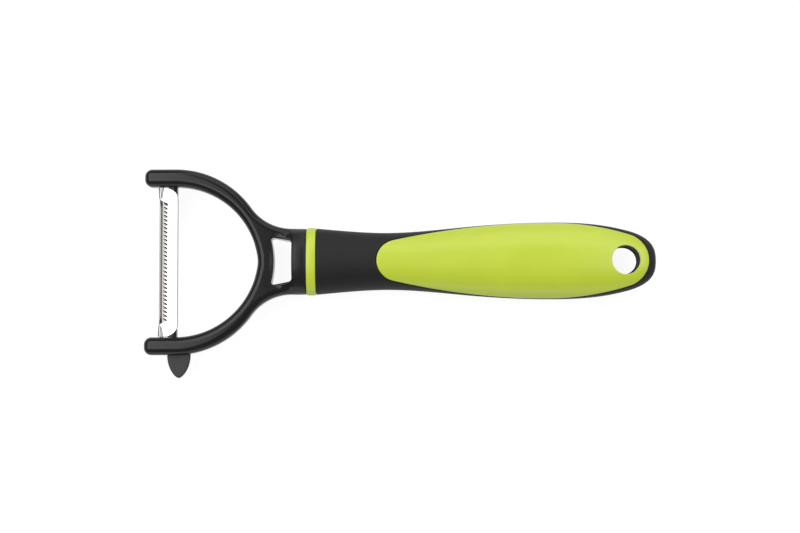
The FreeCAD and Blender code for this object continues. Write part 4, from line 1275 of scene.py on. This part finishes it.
@dataclass
class Head:
    """The black yoke with its window and lugs, the eye remover and the pivot pins."""

    neck_end: float = 115.5
    neck_half_width: float = 12.0
    neck_length: float = 5.3
    flare_radius: float = 18.0
    jaw_half_gap: float = 27.3
    arm_width: float = 6.5
    arm_half_thickness: float = 4.0
    arm_straight: float = 11.2
    tip_corner: float = 2.7
    edge: RoundedEdge = RoundedEdge(2.5, 10)
    neck_places: tuple[float, ...] = (115.5, 120.6, 124.0, 127.2, 130.15)
    neck_half_thicknesses: tuple[float, ...] = (7.2, 7.0, 5.6, 3.5, 1.8)
    neck_slope: float = 0.03
    plate_start: float = 116.2
    plate_full: float = 124.5
    blend: float = 1.3
    end_edge: float = 0.35
    end_shares: tuple[float, ...] = (0.0, 0.1, 0.3, 0.6)
    end_count: int = 40
    plate_spacing: float = 0.85
    plate_hold: float = 0.1
    neck_fade: float = 4.0
    neck_step: float = 0.5
    flare_step: float = 0.45
    bow_step: float = 0.5
    nose_step: float = 0.4
    arm_step: float = 0.6
    tip_step: float = 0.3
    corner_step: float = 0.22
    window_setback: float = 5.2
    window_length: float = 6.5
    window_rear_half_width: float = 7.3
    window_front_half_width: float = 8.7
    window_front_radius: float = 33.0
    window_corner: float = 1.2
    window_edge: RoundedEdge = RoundedEdge(0.7, 5)
    window_step: float = 0.35
    window_bulge_power: int = 8
    bow_wall: float = 5.9
    bow_nose_radius: float = 12.0
    pivot_setback: float = 6.1
    lug_setback: float = 2.3
    lug_width: float = 3.2
    lug_reach: float = 3.1
    lug_depth: float = 3.0
    lug_top: float = 0.53
    lug_root: float = 1.5
    lug_edge: float = 0.3
    remover_setback: float = 12.5
    remover_half_width: float = 4.2
    remover_reach: float = 8.3
    remover_fullness: float = 1.5
    remover_last_turn: float = 83.0
    remover_half_thickness: float = 1.0
    remover_root: float = 2.6
    remover_edge: RoundedEdge = RoundedEdge(0.5, 5)
    remover_count: int = 36
    remover_corner_step: float = 0.2
    remover_side_step: float = 0.4
    remover_spacing: float = 0.8
    remover_hold: float = 0.05

    @property
    def outer_radius(self) -> float:
        """The outer radius of the arms."""
        return self.jaw_half_gap + self.arm_width

    @property
    def flare_place(self) -> float:
        """Where the neck starts to flare."""
        return self.neck_end + self.neck_length

    @property
    def bend_place(self) -> float:
        """Where the arms become straight."""
        height = self.neck_half_width + self.flare_radius
        return self.flare_place + math.sqrt((self.outer_radius + self.flare_radius) ** 2 - height ** 2)

    @property
    def tip_place(self) -> float:
        """The ends of the arms."""
        return self.bend_place + self.arm_straight

    @property
    def pivot_place(self) -> float:
        """The blade's pivot axis."""
        return self.tip_place - self.pivot_setback

    def outline(self) -> np.ndarray:
        """Draw the yoke's outline in the plan, from one side of the neck round to the other.

        Returns:
            Rows of X and Y.
        """
        flare_height = self.neck_half_width + self.flare_radius
        bend, tip, gap, outer = self.bend_place, self.tip_place, self.jaw_half_gap, self.outer_radius
        corner = self.tip_corner
        slant = math.atan2(flare_height, bend - self.flare_place)
        apex = self.neck_end + self.window_setback + self.window_length + self.bow_wall
        nose = apex + self.bow_nose_radius
        run = bend - nose
        flank = (run ** 2 + gap ** 2 - self.bow_nose_radius ** 2) / (2 * (gap - self.bow_nose_radius))
        flank_angle = math.pi - math.atan2(flank - gap, run)
        start, flare, side = self.neck_end, self.flare_place, self.neck_half_width
        rows = [
            [(start + share * self.end_edge, side) for share in self.end_shares],
            line_points((start + self.end_edge, side), (flare, side), self.neck_step),
            arc_points((flare, flare_height), self.flare_radius, -QUARTER, -slant, self.flare_step),
            arc_points((bend, 0), outer, math.pi - slant, QUARTER, self.bow_step),
            line_points((bend, outer), (tip - corner, outer), self.arm_step),
            arc_points((tip - corner, outer - corner), corner, QUARTER, 0, self.corner_step),
            line_points((tip, outer - corner), (tip, gap + corner), self.tip_step),
            arc_points((tip - corner, gap + corner), corner, 0, -QUARTER, self.corner_step),
            line_points((tip - corner, gap), (bend, gap), self.arm_step),
            arc_points((bend, gap - flank), flank, QUARTER, flank_angle, self.bow_step),
            arc_points((nose, 0), self.bow_nose_radius, flank_angle, math.pi, self.nose_step),
        ]
        half = np.vstack(rows)
        whole = np.vstack([half, [(apex, 0)], half[::-1] * (1, -1)])
        return whole[::-1]

    def window(self) -> np.ndarray:
        """Draw the window's outline in the plan, anticlockwise.

        Returns:
            Rows of X and Y.
        """
        rear = self.neck_end + self.window_setback
        centre = rear + self.window_length + self.window_front_radius
        reach = self.window_front_half_width
        corner_x = centre - math.sqrt(self.window_front_radius ** 2 - reach ** 2)
        outline = rounded_polygon(
            [(rear, -self.window_rear_half_width), (corner_x, -reach),
             (corner_x, reach), (rear, self.window_rear_half_width)],
            self.window_corner, self.window_step)
        bulge = np.sqrt(self.window_front_radius ** 2 - np.minimum(np.abs(outline[:, 1]), reach) ** 2)
        share = np.clip((outline[:, 0] - rear) / (corner_x - rear), 0, 1) ** self.window_bulge_power
        outline[:, 0] += share * (centre - bulge - corner_x)
        return outline

    def place(self, flat: np.ndarray, drop: float, hole_drop: float, side: int) -> np.ndarray:
        """Put points of the plan on the yoke's surface: flat arms that run into the oval neck.

        Args:
            flat: rows of X and Y.
            drop: how far the outer edge's rounding lies below the arms' face.
            hole_drop: how far the window's rounding lies below the face.
            side: 1 for the upper face, -1 for the lower.

        Returns:
            Rows of X, Y and Z.
        """
        x, y = flat.T
        start = np.clip((x - self.plate_start) / (self.plate_full - self.plate_start), 0, 1)
        plate = (self.arm_half_thickness - drop) * start * start * (3 - 2 * start)
        flare_height = self.neck_half_width + self.flare_radius
        run = np.clip(x - self.flare_place, 0, self.flare_radius)
        half_width = flare_height - np.sqrt(self.flare_radius ** 2 - run ** 2)
        neck = SmoothLine(self.neck_places, self.neck_half_thicknesses, self.neck_slope).at(x)
        neck = neck * np.sqrt(np.clip(1 - (y / half_width) ** 2, 0, 1))
        neck = neck * (x < self.neck_places[-1] + self.neck_fade)
        gap = np.abs(plate - neck)
        height = np.maximum(plate, neck) + np.clip(self.blend - gap, 0, None) ** 2 / (4 * self.blend)
        into = np.clip(self.end_edge - (x - self.neck_end), 0, self.end_edge)
        end_drop = self.end_edge - np.sqrt(self.end_edge ** 2 - into ** 2)
        y = y * (1 - end_drop / self.neck_half_width)
        return np.column_stack([x, y, side * np.clip(height - end_drop - hole_drop, 0, None)])

    def yoke(self, material: bpy.types.Material) -> bpy.types.Object:
        """Build the yoke with its window and the lugs that stop the blade.

        Args:
            material: its finish.

        Returns:
            The new piece.
        """
        width = self.neck_half_width - self.edge.radius
        across = np.linspace(width, -width, self.end_count + 2)[1:-1]
        end = np.column_stack([np.full(self.end_count, self.neck_end), across])
        plate = Plate(
            self.outline(), self.edge, self.place, [self.window()], self.window_edge,
            self.plate_spacing, end, self.plate_hold)
        draft = plate.draft()
        pivot = self.pivot_place
        for side in (1, -1):
            tip, root = self.jaw_half_gap - self.lug_reach, self.jaw_half_gap + self.lug_root
            faces = sorted((side * tip, side * root))
            draft.join(rounded_block(
                (pivot - self.lug_setback - self.lug_width, faces[0], -self.lug_depth),
                (pivot - self.lug_setback, faces[1], self.lug_top), self.lug_edge))
        return draft.build("yoke_moulding", material)

    def remover(self, material: bpy.types.Material) -> bpy.types.Object:
        """Build the leaf-shaped eye remover.

        Args:
            material: its finish.

        Returns:
            The new piece.
        """
        half, base = self.remover_half_width, self.outer_radius
        low, corner = base - self.remover_root, self.remover_root / 2
        turn = np.radians(np.linspace(0, self.remover_last_turn, self.remover_count))
        across = half * np.cos(turn) ** (2 / self.remover_fullness)
        right = np.vstack([
            arc_points((half - corner, low + corner), corner, -QUARTER, 0, self.remover_corner_step),
            line_points((half, low + corner), (half, base), self.remover_side_step),
            np.column_stack([across, base + self.remover_reach * np.sin(turn)]),
        ])
        outline = np.vstack([
            right, [(0, base + self.remover_reach)], right[::-1] * (-1, 1),
            line_points((corner - half, low), (half - corner, low), self.remover_side_step)[1:],
        ])
        outline[:, 0] += self.tip_place - self.remover_setback

        def place(flat: np.ndarray, drop: float, _: float, face: int) -> np.ndarray:
            """Put a ring of the remover at its height."""
            return at_level(flat, face * (self.remover_half_thickness - drop))

        plate = Plate(
            outline, self.remover_edge, place, spacing=self.remover_spacing, hold=self.remover_hold)
        return plate.draft().build("eye_remover_leaf", material)

    def dress(self, finishes: Finishes) -> None:
        """Build all pieces of the head and put them on the handle's body.

        Args:
            finishes: the materials.
        """
        hand_over(self.yoke(finishes.yoke), Body.HANDLE, "gloss_black_plastic", "yoke")
        hand_over(self.remover(finishes.remover), Body.HANDLE, "dark_grey_plastic", "eye_remover")
        for node in ("left_pivot_pin", "right_pivot_pin"):
            hand_over(smooth_copy(node, f"{node}_wire", finishes.pin), Body.HANDLE, "pin_steel", node)


@dataclass
class SwivelBlade:
    """The bent steel blade with its slot, plain cutting edge, teeth and rolled eyes."""

    axis: float
    bend_radius: float = 1.15
    thickness: float = 0.5
    rear_wing: float = 6.05
    front_wing: float = 5.0
    half_length: float = 27.05
    wing_corner: float = 4.5
    wing_step: float = 0.25
    sheet_spacing: float = 0.3
    sheet_hold: float = 0.05
    edge: RoundedEdge = RoundedEdge(0.2, 4)
    slot_half_length: float = 22.85
    slot_slant: float = 1.6
    slot_front: float = 0.46
    slot_flare: float = 0.6
    slot_flare_length: float = 2.8
    slot_corner: float = 0.25
    slot_step: float = 0.4
    slot_edge: RoundedEdge = RoundedEdge(0.06, 2)
    tooth_root: float = 2.25
    tooth_pitch: float = 1.45
    tooth_count: int = 30
    tooth_gap: float = 0.005
    tooth_sunk: float = 0.005
    tooth_tail: float = 0.06
    scallop: tuple[tuple[float, float], ...] = (
        (-0.72, 0.0), (-1.13, 0.12), (-1.52, 0.26), (-1.82, 0.43), (-2.05, 0.63), (-2.19, 0.86),
        (-2.21, 1.06), (-2.10, 1.23), (-1.78, 1.34))
    scallop_middle: int = 5
    bevel_width: float = 0.6
    bevel_reach: float = 0.77
    bevel_drop: float = 0.42
    bevel_overlap: float = 0.05
    bevel_flat: float = 0.03
    bevel_blunt: float = 0.04
    bevel_count: int = 120
    scallop_sunk: float = 0.03
    scallop_overlap: float = 0.02
    scallop_swell: tuple[float, float] = (0.25, 0.9)
    # painted shade: where the grey strip under the teeth lies
    painted_shade_strip_front: float = -0.45
    painted_shade_strip_rear: float = -2.3
    painted_shade_strip_half_length: float = 22.2
    painted_shade_strip_thickness: float = 0.06
    painted_shade_strip_edge: float = 0.025
    eye_length: float = 3.9
    eye_bore: float = 0.65
    eye_radius: float = 1.2
    eye_small_radius: float = 0.68
    eye_top: float = 1.52
    eye_lean: float = 0.42
    eye_outer_lean_share: float = 0.3
    eye_chamfer: float = 0.15
    eye_parallel: float = 0.9
    eye_small_chamfer: tuple[float, float] = (0.12, 0.14)
    eye_count: int = 40
    sheet_crease: float = 50.0
    edge_crease: float = 25.0
    tooth_crease: float = 30.0

    @property
    def bend_length(self) -> float:
        """The length of the bend along the sheet's outer face."""
        return QUARTER * self.bend_radius

    def place(self, flat: np.ndarray, drop: float, hole_drop: float, side: int) -> np.ndarray:
        """Bend points of the flat sheet over the pivot axis.

        Args:
            flat: rows of the distance along the section, from the rear wing's edge, and of Y.
            drop: depth of the outer edge's rounding.
            hole_drop: depth of the slot edge's rounding.
            side: 1 for the outer face, -1 for the inner.

        Returns:
            Rows of X, Y and Z.
        """
        along, y = flat.T
        depth = drop + hole_drop if side > 0 else self.thickness - drop - hole_drop
        turn = np.clip((along - self.rear_wing) / self.bend_radius, 0, QUARTER)
        radius = self.bend_radius - depth
        before = np.minimum(along - self.rear_wing, 0)
        after = np.maximum(along - self.rear_wing - self.bend_length, 0)
        x = self.axis + before + radius * np.sin(turn)
        return np.column_stack([x, y, radius * np.cos(turn) - after])

    def flare(self, y: np.ndarray) -> np.ndarray:
        """Return how much farther the slot reaches over the bend, near its ends."""
        near = np.clip(1 - (self.slot_half_length - np.abs(y)) / self.slot_flare_length, 0, 1)
        return self.slot_flare * near

    def sheet(self, material: bpy.types.Material) -> bpy.types.Object:
        """Build the bent sheet with its slot.

        Args:
            material: its finish.

        Returns:
            The new piece.
        """
        length = self.rear_wing + self.bend_length + self.front_wing
        half = self.half_length
        outline = rounded_polygon(
            [(0, -half), (length, -half), (length, half), (0, half)], self.wing_corner, self.wing_step)
        rear = self.rear_wing - self.tooth_root
        front = self.rear_wing + self.slot_front
        long, short = self.slot_half_length, self.slot_half_length - self.slot_slant
        slot = rounded_polygon(
            [(rear, -short), (front, -long), (front, long), (rear, short)], self.slot_corner, self.slot_step)
        across = np.clip((slot[:, 0] - rear) / (front - rear), 0, 1)
        slot[:, 0] += across ** 2 * self.flare(slot[:, 1])
        plate = Plate(
            outline, self.edge, self.place, [slot], self.slot_edge, self.sheet_spacing, hold=self.sheet_hold)
        return plate.draft().build("blade_sheet", material, self.sheet_crease)

    def eyes(self, material: bpy.types.Material) -> bpy.types.Object:
        """Build the rolled eyes at both ends.

        Args:
            material: their finish.

        Returns:
            The new piece.
        """
        draft = self.eye(1)
        draft.join(self.eye(-1))
        return draft.build("blade_eyes", material, self.sheet_crease)

    def painted_shade_strip(self, material: bpy.types.Material) -> bpy.types.Object:
        """Build the thin grey strip under the teeth: painted shade, so that the gaps between the teeth show
        grey, like shaded floor, instead of the white floor.

        Args:
            material: its finish.

        Returns:
            The new piece.
        """
        low = self.bend_radius - self.thickness
        return rounded_block(
            (self.axis + self.painted_shade_strip_rear, -self.painted_shade_strip_half_length, low),
            (self.axis + self.painted_shade_strip_front, self.painted_shade_strip_half_length, low + self.painted_shade_strip_thickness), self.painted_shade_strip_edge,
        ).build("blade_serration_painted_shade_strip", material)

    def eye(self, side: int) -> MeshDraft:
        """Draw the rolled eye at one end, which narrows towards the slot.

        Args:
            side: 1 for the end on the eye remover's side, -1 for the other.

        Returns:
            The closed eye as a draft.
        """
        circle = circle_points(full_turn(self.eye_count))
        inner_end, outer_end = self.half_length - self.eye_length, self.half_length
        rolled, small, bore = self.eye_radius, self.eye_small_radius, self.eye_bore
        lean, chamfer = self.eye_outer_lean_share, self.eye_chamfer
        chamfer_along, chamfer_across = self.eye_small_chamfer
        profile = [
            (outer_end, bore, 0.0), (outer_end, rolled - chamfer, lean), (outer_end - chamfer, rolled, lean),
            (outer_end - self.eye_parallel, rolled, lean), (inner_end + chamfer_along, small, 1.0),
            (inner_end, small - chamfer_across, 1.0), (inner_end, bore, 0.0),
        ]
        draft = MeshDraft()
        rows = []
        for y, radius, raised in profile:
            lift = (self.eye_top - radius) * (raised > 0)
            rows.append(draft.add(np.column_stack([
                self.axis + circle[:, 0] * radius + raised * self.eye_lean,
                np.full(len(circle), side * y), circle[:, 1] * radius + lift])))
        draft.loft(rows)
        return draft

    def cutting_edge(self, material: bpy.types.Material) -> bpy.types.Object:
        """Build the ground bevel of the plain edge along the slot; its dark finish is painted shade for the
        shaded line along the slot.

        Args:
            material: its finish.

        Returns:
            The new piece.
        """
        overlap = self.bevel_overlap
        low = self.bend_radius - overlap - self.bevel_drop
        tip = self.axis + self.slot_front - self.bevel_reach
        along = np.linspace(-self.slot_half_length, self.slot_half_length, self.bevel_count)
        back = np.column_stack([self.rear_wing + self.slot_front + self.flare(along) + overlap, along])
        draft = MeshDraft()
        draft.loft([
            draft.add(self.place(back, overlap, 0.0, 1)),
            draft.add([(tip + self.bevel_flat, y, low) for y in along]),
            draft.add([(tip, y, low - self.bevel_blunt) for y in along]),
            draft.add(self.place(back, 0.0, 0.0, -1)),
        ], closed=False)
        return draft.build("blade_cutting_edge", material, self.edge_crease)

    def tooth(self) -> MeshDraft:
        """Draw one hooked tooth, between the middles of two scallops.

        Returns:
            The closed tooth as a draft.
        """
        middle = self.scallop_middle
        scallop = np.array(self.scallop)
        upper, lower = scallop[middle:], scallop[:middle + 1] + (0, self.tooth_pitch)
        root = -self.tooth_root - self.tooth_tail
        outline = np.vstack([[(root, upper[0, 1])], upper, lower, [(root, lower[-1, 1])]])
        outline[:2, 1] += self.tooth_gap
        outline[-2:, 1] -= self.tooth_gap
        draft = MeshDraft()
        rows = [
            draft.add(at_level(outline + (self.axis, 0), level))
            for level in (self.bend_radius - self.tooth_sunk, self.bend_radius - self.thickness)
        ]
        draft.bridge(*rows)
        draft.faces += [tuple(rows[0]), tuple(rows[1][::-1])]
        return draft

    def scallop_bevel(self) -> MeshDraft:
        """Draw the ground bevel that lines one scallop; its dark finish is painted shade for the dark arcs
        at the scallops' roots.

        Returns:
            The closed bevel as a draft.
        """
        edge = np.array(self.scallop)
        normals = -inward_normals(edge, False)
        swell = np.sin(np.linspace(*self.scallop_swell, len(edge)) * math.pi)[:, None]
        top = self.bend_radius - self.scallop_sunk
        low = top - self.bevel_drop
        draft = MeshDraft()
        rows = []
        for inset, level in (
                (-self.scallop_overlap, top), (self.bevel_width * swell, low), (-self.scallop_overlap, low)):
            rows.append(draft.add(at_level(edge + normals * inset + (self.axis, 0), level)))
        draft.loft(rows, closed=False)
        return draft

    @staticmethod
    def row_tree() -> bpy.types.NodeTree:
        """Build the Geometry Nodes that repeat a tooth along the slot.

        Returns:
            The node tree, with the number of teeth, their pitch and their finish as inputs.
        """
        nodes, given, result = new_group(
            "GeometryNodeTree", "tooth_row",
            [("Geometry", "NodeSocketGeometry"), ("Teeth", "NodeSocketInt"), ("Pitch", "NodeSocketFloat"),
             ("Finish", "NodeSocketMaterial")],
            [("Geometry", "NodeSocketGeometry")],
        )
        step = nodes.add("ShaderNodeCombineXYZ", {"Y": given.outputs["Pitch"]})
        half = nodes.add("ShaderNodeMath", {0: given.outputs["Teeth"], 1: -0.5}, operation="MULTIPLY")
        start = nodes.add("ShaderNodeVectorMath", {0: step.outputs[0], "Scale": half.outputs[0]},
                          operation="SCALE")
        row = nodes.add("GeometryNodeMeshLine", {
            "Count": given.outputs["Teeth"], "Start Location": start.outputs[0], "Offset": step.outputs[0]})
        copies = nodes.add("GeometryNodeInstanceOnPoints", {
            "Points": row.outputs["Mesh"], "Instance": given.outputs["Geometry"]})
        real = nodes.add("GeometryNodeRealizeInstances", {"Geometry": copies.outputs["Instances"]})
        dressed = nodes.add("GeometryNodeSetMaterial", {
            "Geometry": real.outputs["Geometry"], "Material": given.outputs["Finish"]})
        nodes.feed(result, {"Geometry": dressed.outputs["Geometry"]})
        return nodes.tree

    def repeat(
        self, piece: bpy.types.Object, tree: bpy.types.NodeTree, finish: bpy.types.Material
    ) -> bpy.types.Object:
        """Repeat a piece along the slot and make the row a plain mesh.

        Args:
            piece: the piece to repeat.
            tree: the Geometry Nodes that repeat it.
            finish: the finish of the row.

        Returns:
            The same piece, with the whole row as its mesh.
        """
        modifier = piece.modifiers.new("tooth_row", "NODES")
        modifier.node_group = tree
        wanted = {"Teeth": self.tooth_count, "Pitch": self.tooth_pitch * MM, "Finish": finish}
        for socket in tree.interface.items_tree:
            if socket.in_out == "INPUT" and socket.name in wanted:
                modifier[socket.identifier] = wanted[socket.name]
        bpy.context.view_layer.update()
        whole = bpy.data.meshes.new_from_object(piece.evaluated_get(bpy.context.evaluated_depsgraph_get()))
        piece.modifiers.remove(modifier)
        piece.data = whole
        return piece

    def dress(self, finishes: Finishes) -> None:
        """Build all pieces of the blade and put them on its body.

        Args:
            finishes: the materials.
        """
        hand_over(self.sheet(finishes.blade), Body.BLADE, "blade_steel", "blade")
        hand_over(self.eyes(finishes.rolled), Body.BLADE, "blade_steel")
        hand_over(self.cutting_edge(finishes.ground), Body.BLADE, "blade_steel")
        # painted shade: the grey strip that the gaps between the teeth show in place of the white floor
        hand_over(self.painted_shade_strip(finishes.painted_shade_strip), Body.BLADE, "blade_steel")
        tree = self.row_tree()
        for draft, name, finish in ((self.tooth(), "blade_teeth", finishes.blade),
                                    (self.scallop_bevel(), "blade_scallops", finishes.serration)):
            one = draft.build(name, finish, self.tooth_crease)
            hand_over(self.repeat(one, tree, finish), Body.BLADE, "blade_steel")


@dataclass(frozen=True)
class Softbox:
    """A lamp with a soft, flat face. Its radiance is how bright the face is, where 1 is white."""

    name: str
    middle: tuple[float, float, float]
    size: tuple[float, float]
    aim: tuple[float, float, float]
    radiance: float

    def hang(self) -> None:
        """Hang the lamp so that it faces its aim."""
        data = bpy.data.lights.new(self.name, "AREA")
        data.shape = "RECTANGLE"
        data.size, data.size_y = self.size[0] * MM, self.size[1] * MM
        data.energy = self.radiance * math.pi * data.size * data.size_y
        lamp = bpy.data.objects.new(self.name, data)
        bpy.context.scene.collection.objects.link(lamp)
        way = Vector(self.aim) - Vector(self.middle)
        turn = way.to_track_quat("-Z", "Y").to_matrix().to_4x4()
        lamp.matrix_world = Matrix.Translation(Vector(self.middle) * MM) @ turn


@dataclass
class Studio:
    """The pale floor, the soft light and the camera over the peeler."""

    look_at: tuple[float, float, float] = (81.5, 1.85, 0.0)
    distance: float = 560.0
    tilt: float = 4.0
    roll: float = 0.2
    field_of_view: float = 29.14
    floor_level: float = -9.3
    floor_half_size: float = 3000.0
    floor_glow: float = 0.91
    floor_colour: Colour = (0.18, 0.18, 0.18)
    room_light: float = 0.27
    sensor_width: float = 36.0
    far_limit: float = 20000.0
    softboxes: tuple[Softbox, ...] = (
        Softbox("main_softbox", (812.0, -460.0, 1000.0), (1075.0, 1480.0), (812.0, -460.0, 0.0), 2.5),
        Softbox("upper_softbox", (-230.0, -1300.0, 780.0), (940.0, 1350.0), (-230.0, 0.0, 0.0), 1.2),
        Softbox("tail_softbox", (-870.0, -300.0, 900.0), (1060.0, 1200.0), (-870.0, -300.0, 0.0), 1.7),
        Softbox("lower_softbox", (60.0, 1500.0, 270.0), (2000.0, 500.0), (60.0, 0.0, 0.0), 1.1),
    )

    def camera(self) -> None:
        """Put the camera over the peeler, with the blade to the left of the picture."""
        data = bpy.data.cameras.new("camera")
        data.sensor_width = self.sensor_width
        data.angle = math.radians(self.field_of_view)
        data.clip_end = self.far_limit * MM
        camera = bpy.data.objects.new("camera", data)
        bpy.context.scene.collection.objects.link(camera)
        lean, roll = math.radians(self.tilt), math.radians(self.roll)
        away = Vector((0, math.sin(lean), math.cos(lean)))
        level = Vector((0, -math.cos(lean), math.sin(lean)))
        up = math.cos(roll) * level + math.sin(roll) * level.cross(away)
        right = up.cross(away)
        turn = Matrix((right, up, away)).transposed().to_4x4()
        place = (Vector(self.look_at) + self.distance * away) * MM
        camera.matrix_world = Matrix.Translation(place) @ turn
        bpy.context.scene.camera = camera

    def floor(self) -> None:
        """Lay the pale floor, which shows white to the camera and keeps the shadow."""
        draft = MeshDraft()
        reach = self.floor_half_size
        corners = draft.add([
            (x + self.look_at[0], y, self.floor_level)
            for x, y in ((-reach, -reach), (reach, -reach), (reach, reach), (-reach, reach))])
        draft.faces.append(tuple(corners))
        material, nodes, shader = new_material("pale_floor")
        tree = material.node_tree
        tree.nodes.remove(shader)
        plain = nodes.add("ShaderNodeBsdfDiffuse", {"Color": (*self.floor_colour, 1.0)})
        path = nodes.add("ShaderNodeLightPath")
        seen = nodes.add("ShaderNodeMath", {
            0: path.outputs["Is Camera Ray"], 1: path.outputs["Is Glossy Ray"]}, operation="MAXIMUM")
        through = nodes.add("ShaderNodeMath", {
            0: seen.outputs[0], 1: path.outputs["Is Transmission Ray"]}, operation="MAXIMUM")
        strength = nodes.add("ShaderNodeMath", {
            0: through.outputs[0], 1: self.floor_glow}, operation="MULTIPLY")
        glow = nodes.add("ShaderNodeEmission", {"Strength": strength.outputs[0]})
        both = nodes.add("ShaderNodeAddShader", {0: plain.outputs[0], 1: glow.outputs[0]})
        nodes.feed(tree.nodes["Material Output"], {"Surface": both.outputs[0]})
        draft.build("floor", material)

    def world(self) -> None:
        """Surround the peeler with even, dim light."""
        world = bpy.data.worlds.new("studio")
        bpy.context.scene.world = world
        world.use_nodes = True
        light = world.node_tree.nodes["Background"]
        light.inputs["Color"].default_value = (1.0, 1.0, 1.0, 1.0)
        light.inputs["Strength"].default_value = self.room_light

    def set_up(self) -> None:
        """Make the whole studio."""
        self.camera()
        self.floor()
        self.world()
        for softbox in self.softboxes:
            softbox.hang()
        bpy.context.scene.view_settings.view_transform = "Standard"


def main() -> None:
    """Build the studio and the peeler's sub-assemblies in order."""
    logging.basicConfig(level=logging.INFO, format="%(name)s: %(message)s")
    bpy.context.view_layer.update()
    Studio().set_up()
    finishes = Finishes()
    Handle().dress(finishes)
    head = Head()
    head.dress(finishes)
    SwivelBlade(axis=head.pivot_place).dress(finishes)


if __name__ == "__main__":
    main()
